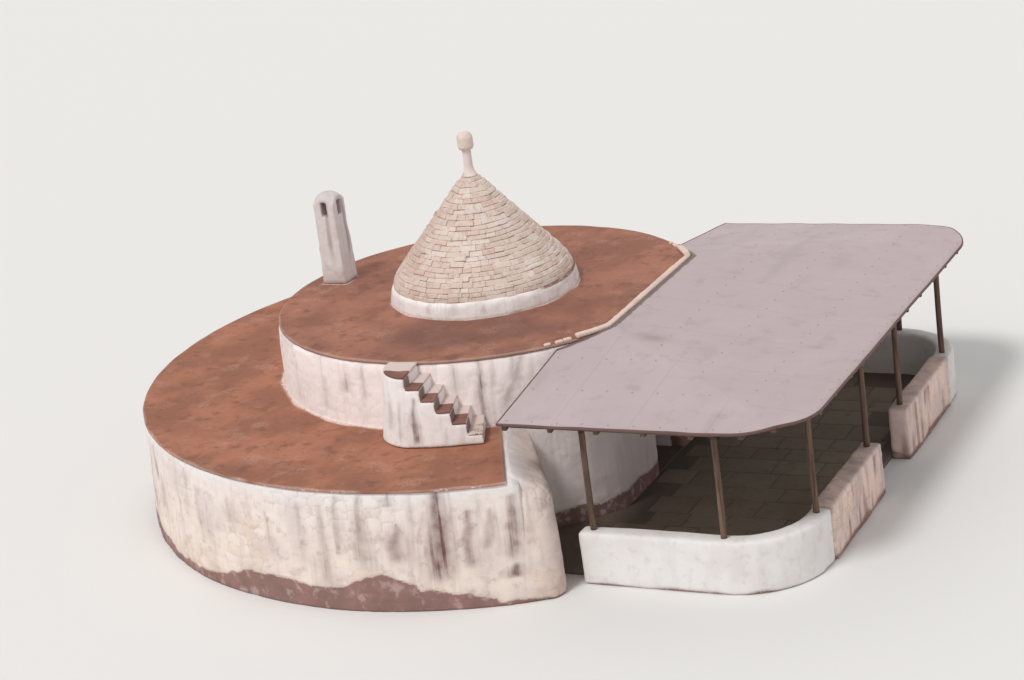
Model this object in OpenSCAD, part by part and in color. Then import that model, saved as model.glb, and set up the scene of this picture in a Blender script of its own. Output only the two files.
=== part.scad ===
// Trullo house with a round two-tier base, a flat walkable roof, a stone cone,
// a chimney, an outside stair on the ledge and a porch under a thin hipped canopy.
// Millimetres. The origin lies on the axis of the cone at ground level, +Z is up,
// +X points out through the entrance and -Y is the front of the porch.

/* [Drum] */
// Radius of the round wall at the roof terrace
drum_top_r = 3050; // [2800:10:3300]
// How much wider the round wall is at the ground than at the terrace
drum_batter = 100; // [50:10:200]
// How far the flat entrance face is cut into the round wall
facade_cut = 400; // [340:10:460]
// Height of the roof terrace
terrace_z = 2650; // [2500:10:2900]
// Thickness of the round wall at the terrace
wall_t = 1150; // [1080:10:1300]
// Height at which the corbelled vault leaves the wall
spring_z = 1300; // [1000:10:1500]
// Height of the vault inside
vault_z = 4050; // [3900:10:4150]
// Thickness of the room floor
floor_t = 100; // [60:5:140]

/* [Entrance] */
// Width of the doorway
door_w = 900; // [700:10:1100]
// Height of the doorway above the ground
door_h = 2000; // [1850:10:2100]
// Height of the stone lintel
lintel_h = 180; // [120:5:220]
// Length of the lintel's bearing on each side
lintel_bearing = 180; // [120:10:240]
// Depth of the lintel into the wall
lintel_d = 260; // [200:10:320]

/* [Lower tier] */
// Radius of the lower tier at its top edge
tier_top_r = 5200; // [5000:10:5400]
// How much wider the lower tier is at the ground than at its top edge
tier_batter = 80; // [40:10:200]
// Height of the ledge on the lower tier
tier_z = 1680; // [1500:10:1800]
// Angle of the tier's ends, measured from the entrance axis
tier_end_angle = 62.5; // [58:0.5:66]
// Angle that the rounded shoulder at each end takes
shoulder_angle = 6.5; // [5.5:0.5:9]
// Radius of the shoulder's round outer corner
nose_r = 260; // [150:10:260]
// How far the shoulder's outer corner lies below the ledge
nose_drop = 140; // [60:10:200]
// Thickness of the coat on the ledge and the terrace
coat_t = 40; // [20:5:60]

/* [Stair] */
// Number of risers from the ledge to the terrace
risers = 6; // [4:1:8]
// Angle of the lowest riser, measured from the entrance axis
stair_start = 66.5; // [65:0.5:70]
// Angle that one tread takes
tread_angle = 3.1; // [2.8:0.1:3.6]
// Angle by which the round end starts before the last riser
end_lead = 1.5; // [1:0.5:2]
// Width of the stair at the terrace
stair_w = 590; // [450:10:700]
// How much wider the stair is at the ledge than at the terrace
stair_batter = 140; // [60:10:200]
// Thickness of the coat on each tread
tread_t = 30; // [15:5:40]

/* [Cone] */
// Radius of the cone's stones at the terrace
cone_r = 1360; // [1300:10:1420]
// Height of the cone's stone courses above the terrace
cone_h = 1720; // [1650:10:1800]
// Height of the steep lower part of the cone
steep_h = 330; // [280:10:450]
// How far the steep lower part leans in
steep_in = 45; // [20:5:100]
// Radius of the cone's last course
cone_top_r = 120; // [100:5:150]
// Roundness of the bend between the steep part and the slope
bend = 50; // [30:5:100]
// Number of stone courses
courses = 24; // [18:1:28]
// How far each course leans back
course_step = 12; // [6:1:18]
// Height of the plastered foot of the cone
foot_h = 230; // [180:10:280]
// How far the plastered foot stands out from the stones
foot_out = 20; // [10:5:45]
// Radius of the pinnacle's neck
neck_r = 62; // [50:2:80]
// Height of the pinnacle's flare and neck
neck_h = 390; // [340:10:420]
// Height of the flare under the neck
flare_h = 160; // [120:10:200]
// Radius of the finial
finial_r = 115; // [90:5:130]
// Height of the finial
finial_h = 260; // [200:10:300]

/* [Chimney] */
// Distance from the chimney's middle to the drum's rim
chimney_inset = 480; // [400:10:560]
// Distance from the chimney's middle to the entrance axis
chimney_y = 250; // [150:10:350]
// Width of the chimney at its foot
chimney_w = 390; // [360:10:440]
// Width of the chimney at its head
chimney_head_w = 350; // [330:10:360]
// Height of the plain shaft
chimney_shaft_h = 1050; // [950:10:1150]
// Height of the open head
chimney_head_h = 220; // [180:10:260]
// Height of the domed cap
chimney_cap_h = 130; // [110:10:160]
// Width of the smoke slot on each side
slot_w = 90; // [70:10:120]

/* [Porch] */
// Distance from the axis to the outer face of the side parapet
parapet_x = 6000; // [5900:10:6100]
// Distance from the axis to the outer face of the front parapet
parapet_y = 4000; // [3950:10:4100]
// Height of the parapet
parapet_h = 740; // [650:10:850]
// Thickness of the parapet
parapet_t = 260; // [200:10:320]
// Outer radius of the parapet's round corners
corner_r = 1050; // [900:10:1150]
// Distance from the entrance axis to the joint with the older wall
joint_y = 2750; // [2650:10:2850]
// Width of the way in through the side parapet
way_in_w = 1200; // [1000:10:1400]
// How far the older wall stands proud of the newer one
old_wall_step = 30; // [10:5:50]
// Thickness of the porch floor
porch_floor_t = 70; // [50:5:90]

/* [Canopy] */
// How far the canopy's side edge stands out from the side parapet
side_overhang = 200; // [150:10:300]
// How far the canopy's front edge stands out from the front parapet
front_overhang = 250; // [200:10:350]
// Distance from the axis to the canopy's short edge, over the end of the ledge
canopy_start_x = 2130; // [2050:10:2250]
// Height of the canopy's top above the terrace, at the entrance face
ridge_rise = 40; // [10:5:80]
// Fall of the canopy from the entrance face to its outer edges
canopy_fall = 370; // [300:10:440]
// Thickness of the canopy sheet
sheet_t = 35; // [20:5:50]
// Radius of the canopy's corners
canopy_corner_r = 1050; // [900:10:1200]
// Distance between rafters
rafter_pitch = 640; // [500:10:800]
// Depth of a rafter
rafter_h = 90; // [70:5:110]
// Width of a rafter
rafter_w = 60; // [50:5:80]
// Depth of an eaves beam
beam_h = 110; // [90:5:140]
// Width of an eaves beam
beam_w = 90; // [80:5:110]
// Diameter of a post
post_d = 90; // [80:5:110]
// Distance from a post's middle to the end of the wall or sheet by it
post_inset = 180; // [150:10:220]
// Height of the kerb along the porch side of the terrace
kerb_h = 60; // [40:5:100]
// Width of the kerb
kerb_w = 90; // [80:5:140]
// Angle that the kerb reaches round on each side of the entrance axis
kerb_angle = 40; // [36:1:50]

/* [Hidden] */

$fn = 240;
seat = 0.3; // clearance of faces that meet on a curve
clearance = 15; // space beside the hulled shoulder, which can't follow the round wall
past = 100; // how far a cut runs past the face that it opens
drum_foot_r = drum_top_r + drum_batter;
facade_x = drum_top_r - facade_cut;
room_r = drum_top_r - wall_t;
wall_top_z = terrace_z - coat_t;
tier_foot_r = tier_top_r + tier_batter;
ledge_under_z = tier_z - coat_t;
entrance_angle = acos(facade_x / drum_foot_r) + 1;
segments = 5;
wall_step = (360 - 2 * entrance_angle) / segments;
tier_step = (360 - 2 * tier_end_angle) / segments;
big = 20000;

plaster = [0.90, 0.87, 0.84];
rubble = [0.84, 0.80, 0.76];
terracotta = [0.58, 0.36, 0.30];
limestone = [0.80, 0.74, 0.67];
timber = [0.42, 0.32, 0.26];
sheet_colour = [0.73, 0.68, 0.69];

// Radius of the drum's battered face at a height
function drum_r(z) = drum_foot_r + (drum_top_r - drum_foot_r) * z / terrace_z;
// Radius of the lower tier's battered face at a height
function tier_r(z) = tier_foot_r + (tier_top_r - tier_foot_r) * z / tier_z;
// Radius of the room at a height, vertical up to the springing and corbelled above it
function vault_r(z) = z <= spring_z ? room_r : room_r * pow(1 - (z - spring_z) / (vault_z - spring_z), 0.85);
// Points of the vault's inner face between two heights
function vault_curve(z0, z1, n = 6) = [for (i = [0 : n]) let (z = z0 + (z1 - z0) * i / n) [vault_r(z), z]];
function reversed(list) = [for (i = [len(list) - 1 : -1 : 0]) list[i]];

// A profile turned about the axis between two angles
module turned(from_angle, to_angle, profile) {
  rotate([0, 0, from_angle])
    rotate_extrude(angle = to_angle - from_angle)
      polygon(profile);
}

module wall_ring(from_angle, to_angle, z0, z1) {
  turned(from_angle, to_angle, concat(
    [[drum_r(z0), z0], [drum_r(z1), z1]],
    reversed(vault_curve(z0, z1))));
}

module room_wall(index) {
  color(rubble)
    wall_ring(entrance_angle + wall_step * index, entrance_angle + wall_step * (index + 1), 0, spring_z);
}

module vault(index) {
  color(rubble)
    wall_ring(entrance_angle + wall_step * index, entrance_angle + wall_step * (index + 1), spring_z, wall_top_z);
}

module room_floor() {
  color(limestone) {
    cylinder(r = room_r - seat, h = floor_t);
    translate([room_r / 2, -door_w / 2 + seat, 0])
      cube([facade_x - room_r / 2, door_w - 2 * seat, floor_t]);
  }
}

// The wall between the two ring ends, cut flat at the entrance face
module entrance_block(z0, z1) {
  intersection() {
    union() {
      if (z0 < spring_z) wall_ring(-entrance_angle, entrance_angle, z0, min(z1, spring_z));
      if (z1 > spring_z) wall_ring(-entrance_angle, entrance_angle, max(z0, spring_z), z1);
    }
    translate([0, -big / 2, 0]) cube([facade_x, big, z1]);
  }
}

module entrance_side(side) {
  color(rubble)
    difference() {
      entrance_block(0, door_h);
      translate([0, side > 0 ? -big + door_w / 2 : -door_w / 2, -1]) cube([big, big, big]);
    }
}

module entrance_wall_front() entrance_side(-1);
module entrance_wall_back() entrance_side(1);

module lintel_volume() {
  half = door_w / 2 + lintel_bearing;
  translate([facade_x - lintel_d, -half, door_h]) cube([lintel_d, 2 * half, lintel_h]);
}

module door_lintel() {
  color(limestone) lintel_volume();
}

module entrance_wall_top() {
  color(rubble)
    difference() {
      entrance_block(door_h, wall_top_z);
      lintel_volume();
    }
}

module tier(index) {
  color(plaster)
    turned(tier_end_angle + tier_step * index, tier_end_angle + tier_step * (index + 1), [
      [drum_r(0) + seat, 0], [tier_r(0), 0],
      [tier_r(ledge_under_z), ledge_under_z], [drum_r(ledge_under_z) + seat, ledge_under_z]
    ]);
}

module ledge_floor() {
  color(terracotta)
    turned(tier_end_angle, 360 - tier_end_angle, [
      [drum_r(ledge_under_z) + seat, ledge_under_z], [tier_r(ledge_under_z), ledge_under_z],
      [tier_r(tier_z), tier_z], [drum_r(tier_z) + seat, tier_z]
    ]);
}

shoulder_end = tier_end_angle - shoulder_angle;

// Rounded rubble shoulder that closes one end of the lower tier
module tier_end(side) {
  inner = drum_foot_r + clearance;
  inner_nose_r = nose_r / 4;
  color(plaster)
    mirror([0, side < 0 ? 1 : 0, 0])
      hull() {
        turned(tier_end_angle - 0.6, tier_end_angle, [
          [inner, 0], [tier_r(0), 0], [tier_r(tier_z) - nose_drop / 2, tier_z - nose_drop],
          [tier_r(tier_z) - 2 * nose_drop, tier_z], [inner, tier_z]
        ], $fn = 24);
        rotate([0, 0, shoulder_end]) {
          translate([tier_foot_r - nose_r, nose_r, 0]) {
            cylinder(r = nose_r, h = nose_r, $fn = 24);
            translate([-tier_batter, 0, tier_z - nose_drop - nose_r]) sphere(r = nose_r, $fn = 24);
          }
          translate([inner + inner_nose_r, inner_nose_r, 0])
            cylinder(r = inner_nose_r, h = tier_z - nose_drop, $fn = 24);
        }
      }
}

module tier_end_front() tier_end(-1);
module tier_end_back() tier_end(1);

riser_h = (terrace_z - tier_z) / risers;
stair_top_r = drum_top_r + stair_w;
stair_foot_r = stair_top_r + stair_batter;
// The round end is a quarter turn about a point on the drum's face
round_angle = stair_start + tread_angle * (risers - 1) - end_lead;
round_margin = 20;
stair_end = round_angle + asin((stair_foot_r - drum_top_r) / drum_top_r) + 1;

function stair_r(z) = stair_foot_r + (stair_top_r - stair_foot_r) * (z - tier_z) / (terrace_z - tier_z);

// What the round end leaves off the stair, past its centre
module stair_end_cut() {
  rotate([0, 0, -round_angle])
    difference() {
      translate([0, -big, tier_z - past]) cube([big, big, terrace_z - tier_z + 2 * past]);
      translate([drum_foot_r, 0, tier_z - past - 1])
        cylinder(r1 = stair_r(tier_z - past) - drum_foot_r + round_margin,
                 r2 = stair_r(terrace_z + past) - drum_foot_r + round_margin,
                 h = terrace_z - tier_z + 2 * past + 2);
    }
}

module stair_base() {
  under_landing = terrace_z - tread_t;
  color(plaster)
    difference() {
      turned(-stair_end, -stair_start, [
        [drum_r(tier_z) + seat, tier_z], [stair_r(tier_z), tier_z],
        [stair_r(under_landing), under_landing], [drum_r(under_landing) + seat, under_landing]
      ]);
      for (k = [0 : risers - 2]) {
        tread_z = tier_z + riser_h * (k + 1) - tread_t;
        turned(-stair_start - tread_angle * (k + 1), -stair_start + 1, [
          [drum_top_r - past, tread_z], [stair_foot_r + past, tread_z],
          [stair_foot_r + past, terrace_z], [drum_top_r - past, terrace_z]
        ]);
      }
      stair_end_cut();
    }
}

module stair_treads() {
  color(terracotta)
    difference() {
      for (k = [0 : risers - 1]) {
        a = stair_start + tread_angle * k;
        b = k == risers - 1 ? stair_end : a + tread_angle;
        top = tier_z + riser_h * (k + 1);
        turned(-b, -a, [
          [drum_r(top - tread_t) + seat, top - tread_t], [stair_r(top - tread_t), top - tread_t],
          [stair_r(top - tread_t), top], [drum_r(top) + seat, top]
        ]);
      }
      stair_end_cut();
    }
}

// Plan of the drum at the terrace, with its flat entrance face
module drum_plan(grow = 0) {
  intersection() {
    circle(r = drum_r(wall_top_z) + grow);
    translate([-big, -big / 2]) square([big + facade_x + grow, big]);
  }
}

module terrace_floor() {
  color(terracotta)
    translate([0, 0, wall_top_z])
      linear_extrude(coat_t)
        difference() {
          drum_plan();
          circle(r = foot_hole_r);
        }
}

module terrace_kerb() {
  color(plaster)
    translate([0, 0, terrace_z])
      linear_extrude(kerb_h)
        intersection() {
          difference() {
            drum_plan();
            intersection() {
              circle(r = drum_r(wall_top_z) - kerb_w);
              translate([-big, -big / 2]) square([big + facade_x - kerb_w, big]);
            }
          }
          ray_wedge(kerb_angle);
        }
}

// The smaller of two lengths, with a rounded change from one to the other
function smooth_min(a, b, k) = (a + b - sqrt((a - b) * (a - b) + k * k)) / 2;

// Radius of the cone's face at a height above the terrace, steep at first and then sloping
function cone_face(h) = smooth_min(
  cone_r - steep_in * h / steep_h,
  cone_top_r + (cone_r - steep_in - cone_top_r) * (cone_h - h) / (cone_h - steep_h), bend);
course_h = (cone_h - foot_h) / courses;

// Stepped face of the courses from one course to another
function course_face(c0, c1) = [
  for (c = [c0 : c1 - 1], s = [0, 1])
    let (h = foot_h + course_h * c)
      s == 0 ? [cone_face(h), terrace_z + h] : [cone_face(h) - course_step, terrace_z + h + course_h]
];

module cone_courses(c0, c1) {
  z0 = terrace_z + foot_h + course_h * c0;
  z1 = terrace_z + foot_h + course_h * c1;
  inner = z1 <= vault_z ? reversed(vault_curve(z0, z1)) : concat([[0, z1], [0, vault_z]],
    reversed(vault_curve(z0, vault_z - 1)));
  color(limestone)
    rotate_extrude() polygon(concat(course_face(c0, c1), inner));
}

half_course = floor(courses / 2);
module cone_lower_courses() cone_courses(0, half_course);
module cone_upper_courses() cone_courses(half_course, courses);

foot_r = cone_r + foot_out;
foot_hole_r = foot_r - coat_t;

module cone_foot() {
  top = terrace_z + foot_h;
  color(plaster)
    rotate_extrude()
      polygon(concat(
        [[foot_hole_r - seat, wall_top_z], [foot_hole_r - seat, terrace_z], [foot_r, terrace_z],
         [cone_face(foot_h * 0.8) + foot_out, terrace_z + foot_h * 0.8], [cone_face(foot_h), top]],
        reversed(vault_curve(wall_top_z, top))));
}

module pinnacle_neck() {
  color(plaster)
    translate([0, 0, terrace_z + cone_h])
      rotate_extrude()
        polygon(concat([[0, 0]],
          [for (t = [0 : 0.25 : 1])
            [neck_r + (cone_face(cone_h) - neck_r) * (1 - t) * (1 - t), flare_h * t]],
          [[neck_r, neck_h], [0, neck_h]]));
}

module finial() {
  color(plaster)
    translate([0, 0, terrace_z + cone_h + neck_h])
      rotate_extrude()
        polygon([[0, 0], [finial_r * 0.8, 0], [finial_r, finial_h * 0.15], [finial_r * 0.96, finial_h * 0.7],
                 [finial_r * 0.7, finial_h * 0.92], [0, finial_h]]);
}

module at_chimney(z) translate([chimney_inset - drum_top_r, chimney_y, z]) children();

module chimney_shaft() {
  color(plaster)
    at_chimney(terrace_z)
      hull() {
        translate([-chimney_w / 2, -chimney_w / 2, 0]) cube([chimney_w, chimney_w, 1]);
        translate([-chimney_head_w / 2, -chimney_head_w / 2, chimney_shaft_h - 1])
          cube([chimney_head_w, chimney_head_w, 1]);
      }
}

module chimney_head() {
  pier = (chimney_head_w - slot_w) / 2;
  color(plaster)
    at_chimney(terrace_z + chimney_shaft_h)
      for (x = [0, 1], y = [0, 1])
        mirror([x, 0, 0]) mirror([0, y, 0])
          translate([slot_w / 2, slot_w / 2, 0]) cube([pier, pier, chimney_head_h]);
}

module chimney_cap() {
  w = chimney_head_w;
  dome_r = w * 0.72;
  color(plaster)
    at_chimney(terrace_z + chimney_shaft_h + chimney_head_h)
      intersection() {
        translate([-w / 2, -w / 2, 0]) cube([w, w, chimney_cap_h]);
        translate([0, 0, chimney_cap_h - dome_r]) sphere(r = dome_r);
      }
}

// Plan of a plate with round outer corners, symmetric about the entrance axis
module porch_outline(start_x, x, y, r) {
  translate([start_x, -y]) square([x - start_x - r, 2 * y]);
  translate([start_x, -y + r]) square([x - start_x, 2 * (y - r)]);
  for (s = [-1, 1]) translate([x - r, s * (y - r)]) circle(r = r);
}

// Everything between the two rays at an angle on each side of the entrance axis
module ray_wedge(angle) {
  polygon([[0, 0], [big * cos(angle), -big * sin(angle)], [big * cos(angle), big * sin(angle)]]);
}

module porch_floor() {
  color(limestone)
    linear_extrude(porch_floor_t)
      difference() {
        intersection() {
          porch_outline(0, parapet_x - parapet_t - seat, parapet_y - parapet_t - seat, corner_r - parapet_t);
          ray_wedge(shoulder_end);
        }
        intersection() {
          circle(r = drum_r(0) + seat);
          translate([-big, -big / 2]) square([big + facade_x, big]);
        }
      }
}

module parapet_ring() {
  difference() {
    porch_outline(0, parapet_x, parapet_y, corner_r);
    porch_outline(-1, parapet_x - parapet_t, parapet_y - parapet_t, corner_r - parapet_t);
  }
}

parapet_start_x = tier_foot_r * cos(shoulder_end) + clearance;

module parapet_front_plan() {
  intersection() {
    parapet_ring();
    translate([parapet_start_x, -big]) square([big, big - joint_y]);
  }
}

module parapet_front() {
  color(plaster) linear_extrude(parapet_h) parapet_front_plan();
}

module parapet_back() {
  color(plaster) mirror([0, 1, 0]) linear_extrude(parapet_h) parapet_front_plan();
}

module parapet_side_front() {
  color(rubble)
    translate([parapet_x - parapet_t, -joint_y, 0])
      cube([parapet_t + old_wall_step, joint_y - way_in_w / 2, parapet_h + old_wall_step]);
}

module parapet_side_back() {
  mirror([0, 1, 0]) parapet_side_front();
}

canopy_x = parapet_x + side_overhang;
canopy_y = parapet_y + front_overhang;
ridge_z = terrace_z + ridge_rise;
eave_z = ridge_z - canopy_fall;
// Distance from the entrance axis to the corners of the flat entrance face
facade_corner_y = sqrt(pow(drum_r(wall_top_z), 2) - pow(facade_x, 2));
hip_run_x = canopy_x - facade_x;
hip_run_y = canopy_y - facade_corner_y;
front_slope = atan((ridge_z - eave_z) / hip_run_y);
side_slope = atan((ridge_z - eave_z) / hip_run_x);
rafters_under = sheet_t + rafter_h;
beam_rise = 40;
beam_under_z = eave_z - rafters_under - beam_h + beam_rise;
// The eaves beams run over the middle of the parapet, where the roof is already higher
beam_y = parapet_y - parapet_t / 2;
beam_x = parapet_x - parapet_t / 2;
wall_clear = drum_r(eave_z) - drum_r(wall_top_z) + seat;

// One roof plane's underspace on the front, lowered by a depth measured upright
module under_front_plane(depth) {
  translate([-big / 2, -canopy_y, eave_z - depth])
    rotate([front_slope, 0, 0])
      translate([0, -big / 2, -big]) cube([big, big, big]);
}

// All that lies under the three roof planes
module under_roof(depth) {
  intersection() {
    under_front_plane(depth);
    mirror([0, 1, 0]) under_front_plane(depth);
    translate([canopy_x, -big / 2, eave_z - depth])
      rotate([0, side_slope, 0])
        translate([-big / 2, 0, -big]) cube([big, big, big]);
  }
}

// A plan raised from a height up to the roof planes lowered by a depth
module plan_under_roof(z, depth) {
  intersection() {
    translate([0, 0, z]) linear_extrude(ridge_z + past - z) children();
    under_roof(depth);
  }
}

// A plan turned into a layer that follows the roof between two depths
module roof_layer(depth0, depth1) {
  difference() {
    plan_under_roof(beam_under_z, depth0) children();
    under_roof(depth1);
  }
}

module canopy_sheet() {
  color(sheet_colour)
    roof_layer(0, sheet_t)
      difference() {
        porch_outline(canopy_start_x, canopy_x, canopy_y, canopy_corner_r);
        drum_plan(wall_clear);
      }
}

// Plan of the part of the canopy in front of the hip line
module front_sector() {
  polygon([[0, -facade_corner_y], [facade_x, -facade_corner_y],
           [facade_x + 2 * hip_run_x, -facade_corner_y - 2 * hip_run_y], [0, -facade_corner_y - 2 * hip_run_y]]);
}

// Plan of the part of the canopy between the two hip lines
module side_sector() {
  polygon([[facade_x, -facade_corner_y], [facade_x + 2 * hip_run_x, -facade_corner_y - 2 * hip_run_y],
           [facade_x + 2 * hip_run_x, facade_corner_y + 2 * hip_run_y], [facade_x, facade_corner_y]]);
}

side_rafters = floor((canopy_y - canopy_corner_r) / rafter_pitch);
rafter_end_gap = 50; // from a rafter's end to the edge of the sheet

module rafter_plan() {
  for (s = [0, 1])
    mirror([0, s]) {
      intersection() {
        front_sector();
        for (x = [canopy_start_x + rafter_w : rafter_pitch : canopy_x])
          translate([x, -canopy_y]) square([rafter_w, canopy_y]);
      }
      translate([facade_x, -facade_corner_y])
        rotate(-atan2(hip_run_y, hip_run_x))
          translate([0, -rafter_w / 2]) square([norm([hip_run_x, hip_run_y]), rafter_w]);
    }
  intersection() {
    side_sector();
    for (y = [-side_rafters : side_rafters])
      translate([facade_x, y * rafter_pitch - rafter_w / 2]) square([hip_run_x, rafter_w]);
  }
}

module canopy_rafters() {
  color(timber)
    roof_layer(sheet_t, rafters_under)
      difference() {
        intersection() {
          rafter_plan();
          porch_outline(canopy_start_x, canopy_x - rafter_end_gap, canopy_y - rafter_end_gap, canopy_corner_r);
        }
        drum_plan(wall_clear);
      }
}

// Half of the eaves beams' centre line in plan, from the canopy's short edge round to the side
beam_line = [[canopy_start_x + rafter_end_gap / 2, -beam_y], [parapet_x - corner_r, -beam_y],
             [beam_x, corner_r - parapet_y]];

function unit(v) = v / norm(v);
function left_of(v) = [-v[1], v[0]];
function flipped(path) = [for (p = reversed(path)) [p[0], -p[1]]];

// Step from a corner of a path to its mitred edge
function mitre(path, i, w) =
  let (last = len(path) - 1,
       before = left_of(unit(path[max(i, 1)] - path[max(i, 1) - 1])),
       after = left_of(unit(path[min(i, last - 1) + 1] - path[min(i, last - 1)])),
       n = unit(before + after))
  n * w / 2 / (n * before);

// A strip of one width along a path, mitred at its corners
module strip(path, w) {
  polygon(concat(
    [for (i = [0 : len(path) - 1]) path[i] + mitre(path, i, w)],
    reversed([for (i = [0 : len(path) - 1]) path[i] - mitre(path, i, w)])));
}

module canopy_beams() {
  color(timber)
    plan_under_roof(beam_under_z, rafters_under)
      strip(concat(beam_line, flipped(beam_line)), beam_w);
}

module wall_plate() {
  half = facade_corner_y - rafter_end_gap;
  color(timber)
    plan_under_roof(ridge_z - rafters_under - beam_h, rafters_under)
      translate([facade_x + seat, -half]) square([beam_w, 2 * half]);
}

// Posts on the parapet, at the eaves beams
post_places = [[parapet_start_x + post_inset, -beam_y], beam_line[1], beam_line[2],
               [beam_x, -way_in_w / 2 - post_inset]];

module canopy_posts() {
  color(timber)
    for (s = [0, 1])
      mirror([0, s, 0]) {
        for (p = post_places)
          let (foot_z = parapet_h + (abs(p[1]) < joint_y ? old_wall_step : 0))
            translate([p[0], p[1], foot_z]) cylinder(d = post_d, h = beam_under_z - foot_z);
      }
}

room_floor();
room_wall(0);  // room_wall_back_right
room_wall(1);  // room_wall_back
room_wall(2);  // room_wall_left
room_wall(3);  // room_wall_front
room_wall(4);  // room_wall_front_right
vault(0);  // vault_back_right
vault(1);  // vault_back
vault(2);  // vault_left
vault(3);  // vault_front
vault(4);  // vault_front_right
entrance_wall_front();
entrance_wall_back();
door_lintel();
entrance_wall_top();
tier(0);  // tier_back_right
tier(1);  // tier_back
tier(2);  // tier_left
tier(3);  // tier_front
tier(4);  // tier_front_right
tier_end_front();
tier_end_back();
ledge_floor();
stair_base();
stair_treads();
terrace_floor();
terrace_kerb();
cone_foot();
cone_lower_courses();
cone_upper_courses();
pinnacle_neck();
finial();
chimney_shaft();
chimney_head();
chimney_cap();
porch_floor();
parapet_front();
parapet_side_front();
parapet_side_back();
parapet_back();
canopy_sheet();
canopy_rafters();
canopy_beams();
wall_plate();
canopy_posts();
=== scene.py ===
import math
import bpy
import numpy as np
from mathutils import Matrix, Vector, geometry


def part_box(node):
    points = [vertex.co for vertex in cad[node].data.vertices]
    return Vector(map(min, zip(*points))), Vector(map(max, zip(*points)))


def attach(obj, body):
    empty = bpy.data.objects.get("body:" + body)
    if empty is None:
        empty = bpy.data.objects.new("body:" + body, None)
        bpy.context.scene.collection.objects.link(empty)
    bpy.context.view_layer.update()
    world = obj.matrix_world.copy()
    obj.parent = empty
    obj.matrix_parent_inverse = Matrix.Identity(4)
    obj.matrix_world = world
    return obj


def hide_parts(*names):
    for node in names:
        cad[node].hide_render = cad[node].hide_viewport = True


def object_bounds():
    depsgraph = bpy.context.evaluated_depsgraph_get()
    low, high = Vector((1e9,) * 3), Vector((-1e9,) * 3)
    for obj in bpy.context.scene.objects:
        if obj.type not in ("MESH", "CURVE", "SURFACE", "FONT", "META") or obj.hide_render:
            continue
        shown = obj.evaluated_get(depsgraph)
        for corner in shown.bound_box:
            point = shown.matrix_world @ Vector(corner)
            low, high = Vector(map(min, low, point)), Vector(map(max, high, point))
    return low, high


# A trullo house: limewashed rubble walls, red-brown coats on the ledge and the terrace, a cone of
# stone courses, a plastered chimney and pinnacle, an outside stair and a porch under a hipped canopy.
# Metres. +X goes out through the entrance, -Y is the front of the porch, +Z is up.

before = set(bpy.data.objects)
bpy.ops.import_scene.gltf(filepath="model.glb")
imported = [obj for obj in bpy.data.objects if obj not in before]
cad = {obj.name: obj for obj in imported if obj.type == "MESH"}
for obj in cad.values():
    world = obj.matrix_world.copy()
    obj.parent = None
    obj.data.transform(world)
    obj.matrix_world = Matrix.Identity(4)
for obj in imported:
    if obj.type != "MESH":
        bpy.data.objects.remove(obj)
cad_low, cad_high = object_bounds()

LOW, HIGH = 0, 1
X, Y, Z = 0, 1, 2


def end_of(node, end, axis):
    """Where a CAD node ends along an axis, to the nearest half centimetre."""
    return round(0.005 * round(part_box(node)[end][axis] / 0.005), 3)


def middle_of(node, axis):
    return round((end_of(node, LOW, axis) + end_of(node, HIGH, axis)) / 2, 3)


def size_of(node, axis):
    return round(end_of(node, HIGH, axis) - end_of(node, LOW, axis), 3)


def rise(node, level):
    """How far a CAD node's top stands above a level."""
    return round(end_of(node, HIGH, Z) - level, 3)


SIDES = ("front_right", "front", "left", "back", "back_right")

TERRACE_Z = end_of("terrace_floor", HIGH, Z)
LEDGE_Z = end_of("ledge_floor", HIGH, Z)
COAT_T = size_of("terrace_floor", Z)
DRUM_TOP_R = end_of("terrace_floor", HIGH, Y)
DRUM_FOOT_R = -end_of("room_wall_front_right", LOW, Y)
DRUM_MIDDLE_R = round((DRUM_TOP_R + DRUM_FOOT_R) / 2, 3)
FACADE_X = end_of("terrace_floor", HIGH, X)
FACADE_HALF = 1.6
DOOR_HALF = 0.45
TIER_TOP_R = end_of("ledge_floor", HIGH, Y)
TIER_FOOT_R = -end_of("tier_front_right", LOW, Y)

# Degrees from the entrance's axis
TIER_END, SHOULDER_END = 62.5, 56.0
STAIR_START, TREAD_ANGLE, STAIR_END = 66.5, 3.1, 84.0

ROOM_R = end_of("room_floor", HIGH, Y)
ROOM_FLOOR_Z = end_of("room_floor", HIGH, Z)
SPRING_Z = end_of("room_wall_left", HIGH, Z)
VAULT_Z = 4.05

CONE_R, CONE_TOP_R = 1.36, 0.12
CONE_H = rise("cone_upper_courses", TERRACE_Z)
CONE_FOOT_H = rise("cone_foot", TERRACE_Z)
STEEP_H, STEEP_IN, CONE_BEND = 0.33, 0.045, 0.05
CONE_COURSES = 24

CHIMNEY_X = middle_of("chimney_shaft", X)
CHIMNEY_Y = middle_of("chimney_shaft", Y)
CHIMNEY_W = size_of("chimney_shaft", X)
CHIMNEY_H = rise("chimney_cap", TERRACE_Z)

PORCH_FLOOR_Z = end_of("porch_floor", HIGH, Z)
PORCH_IN_X = end_of("porch_floor", HIGH, X)
PORCH_IN_Y = end_of("porch_floor", HIGH, Y)
PARAPET_TOP = end_of("parapet_front", HIGH, Z)
OLD_WALL_STEP = rise("parapet_side_front", PARAPET_TOP)
WAY_IN_HALF = 0.60
CORNER_X, CORNER_Y = 4.95, 2.95

STAIR_MARGIN_R = 3.41

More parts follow.
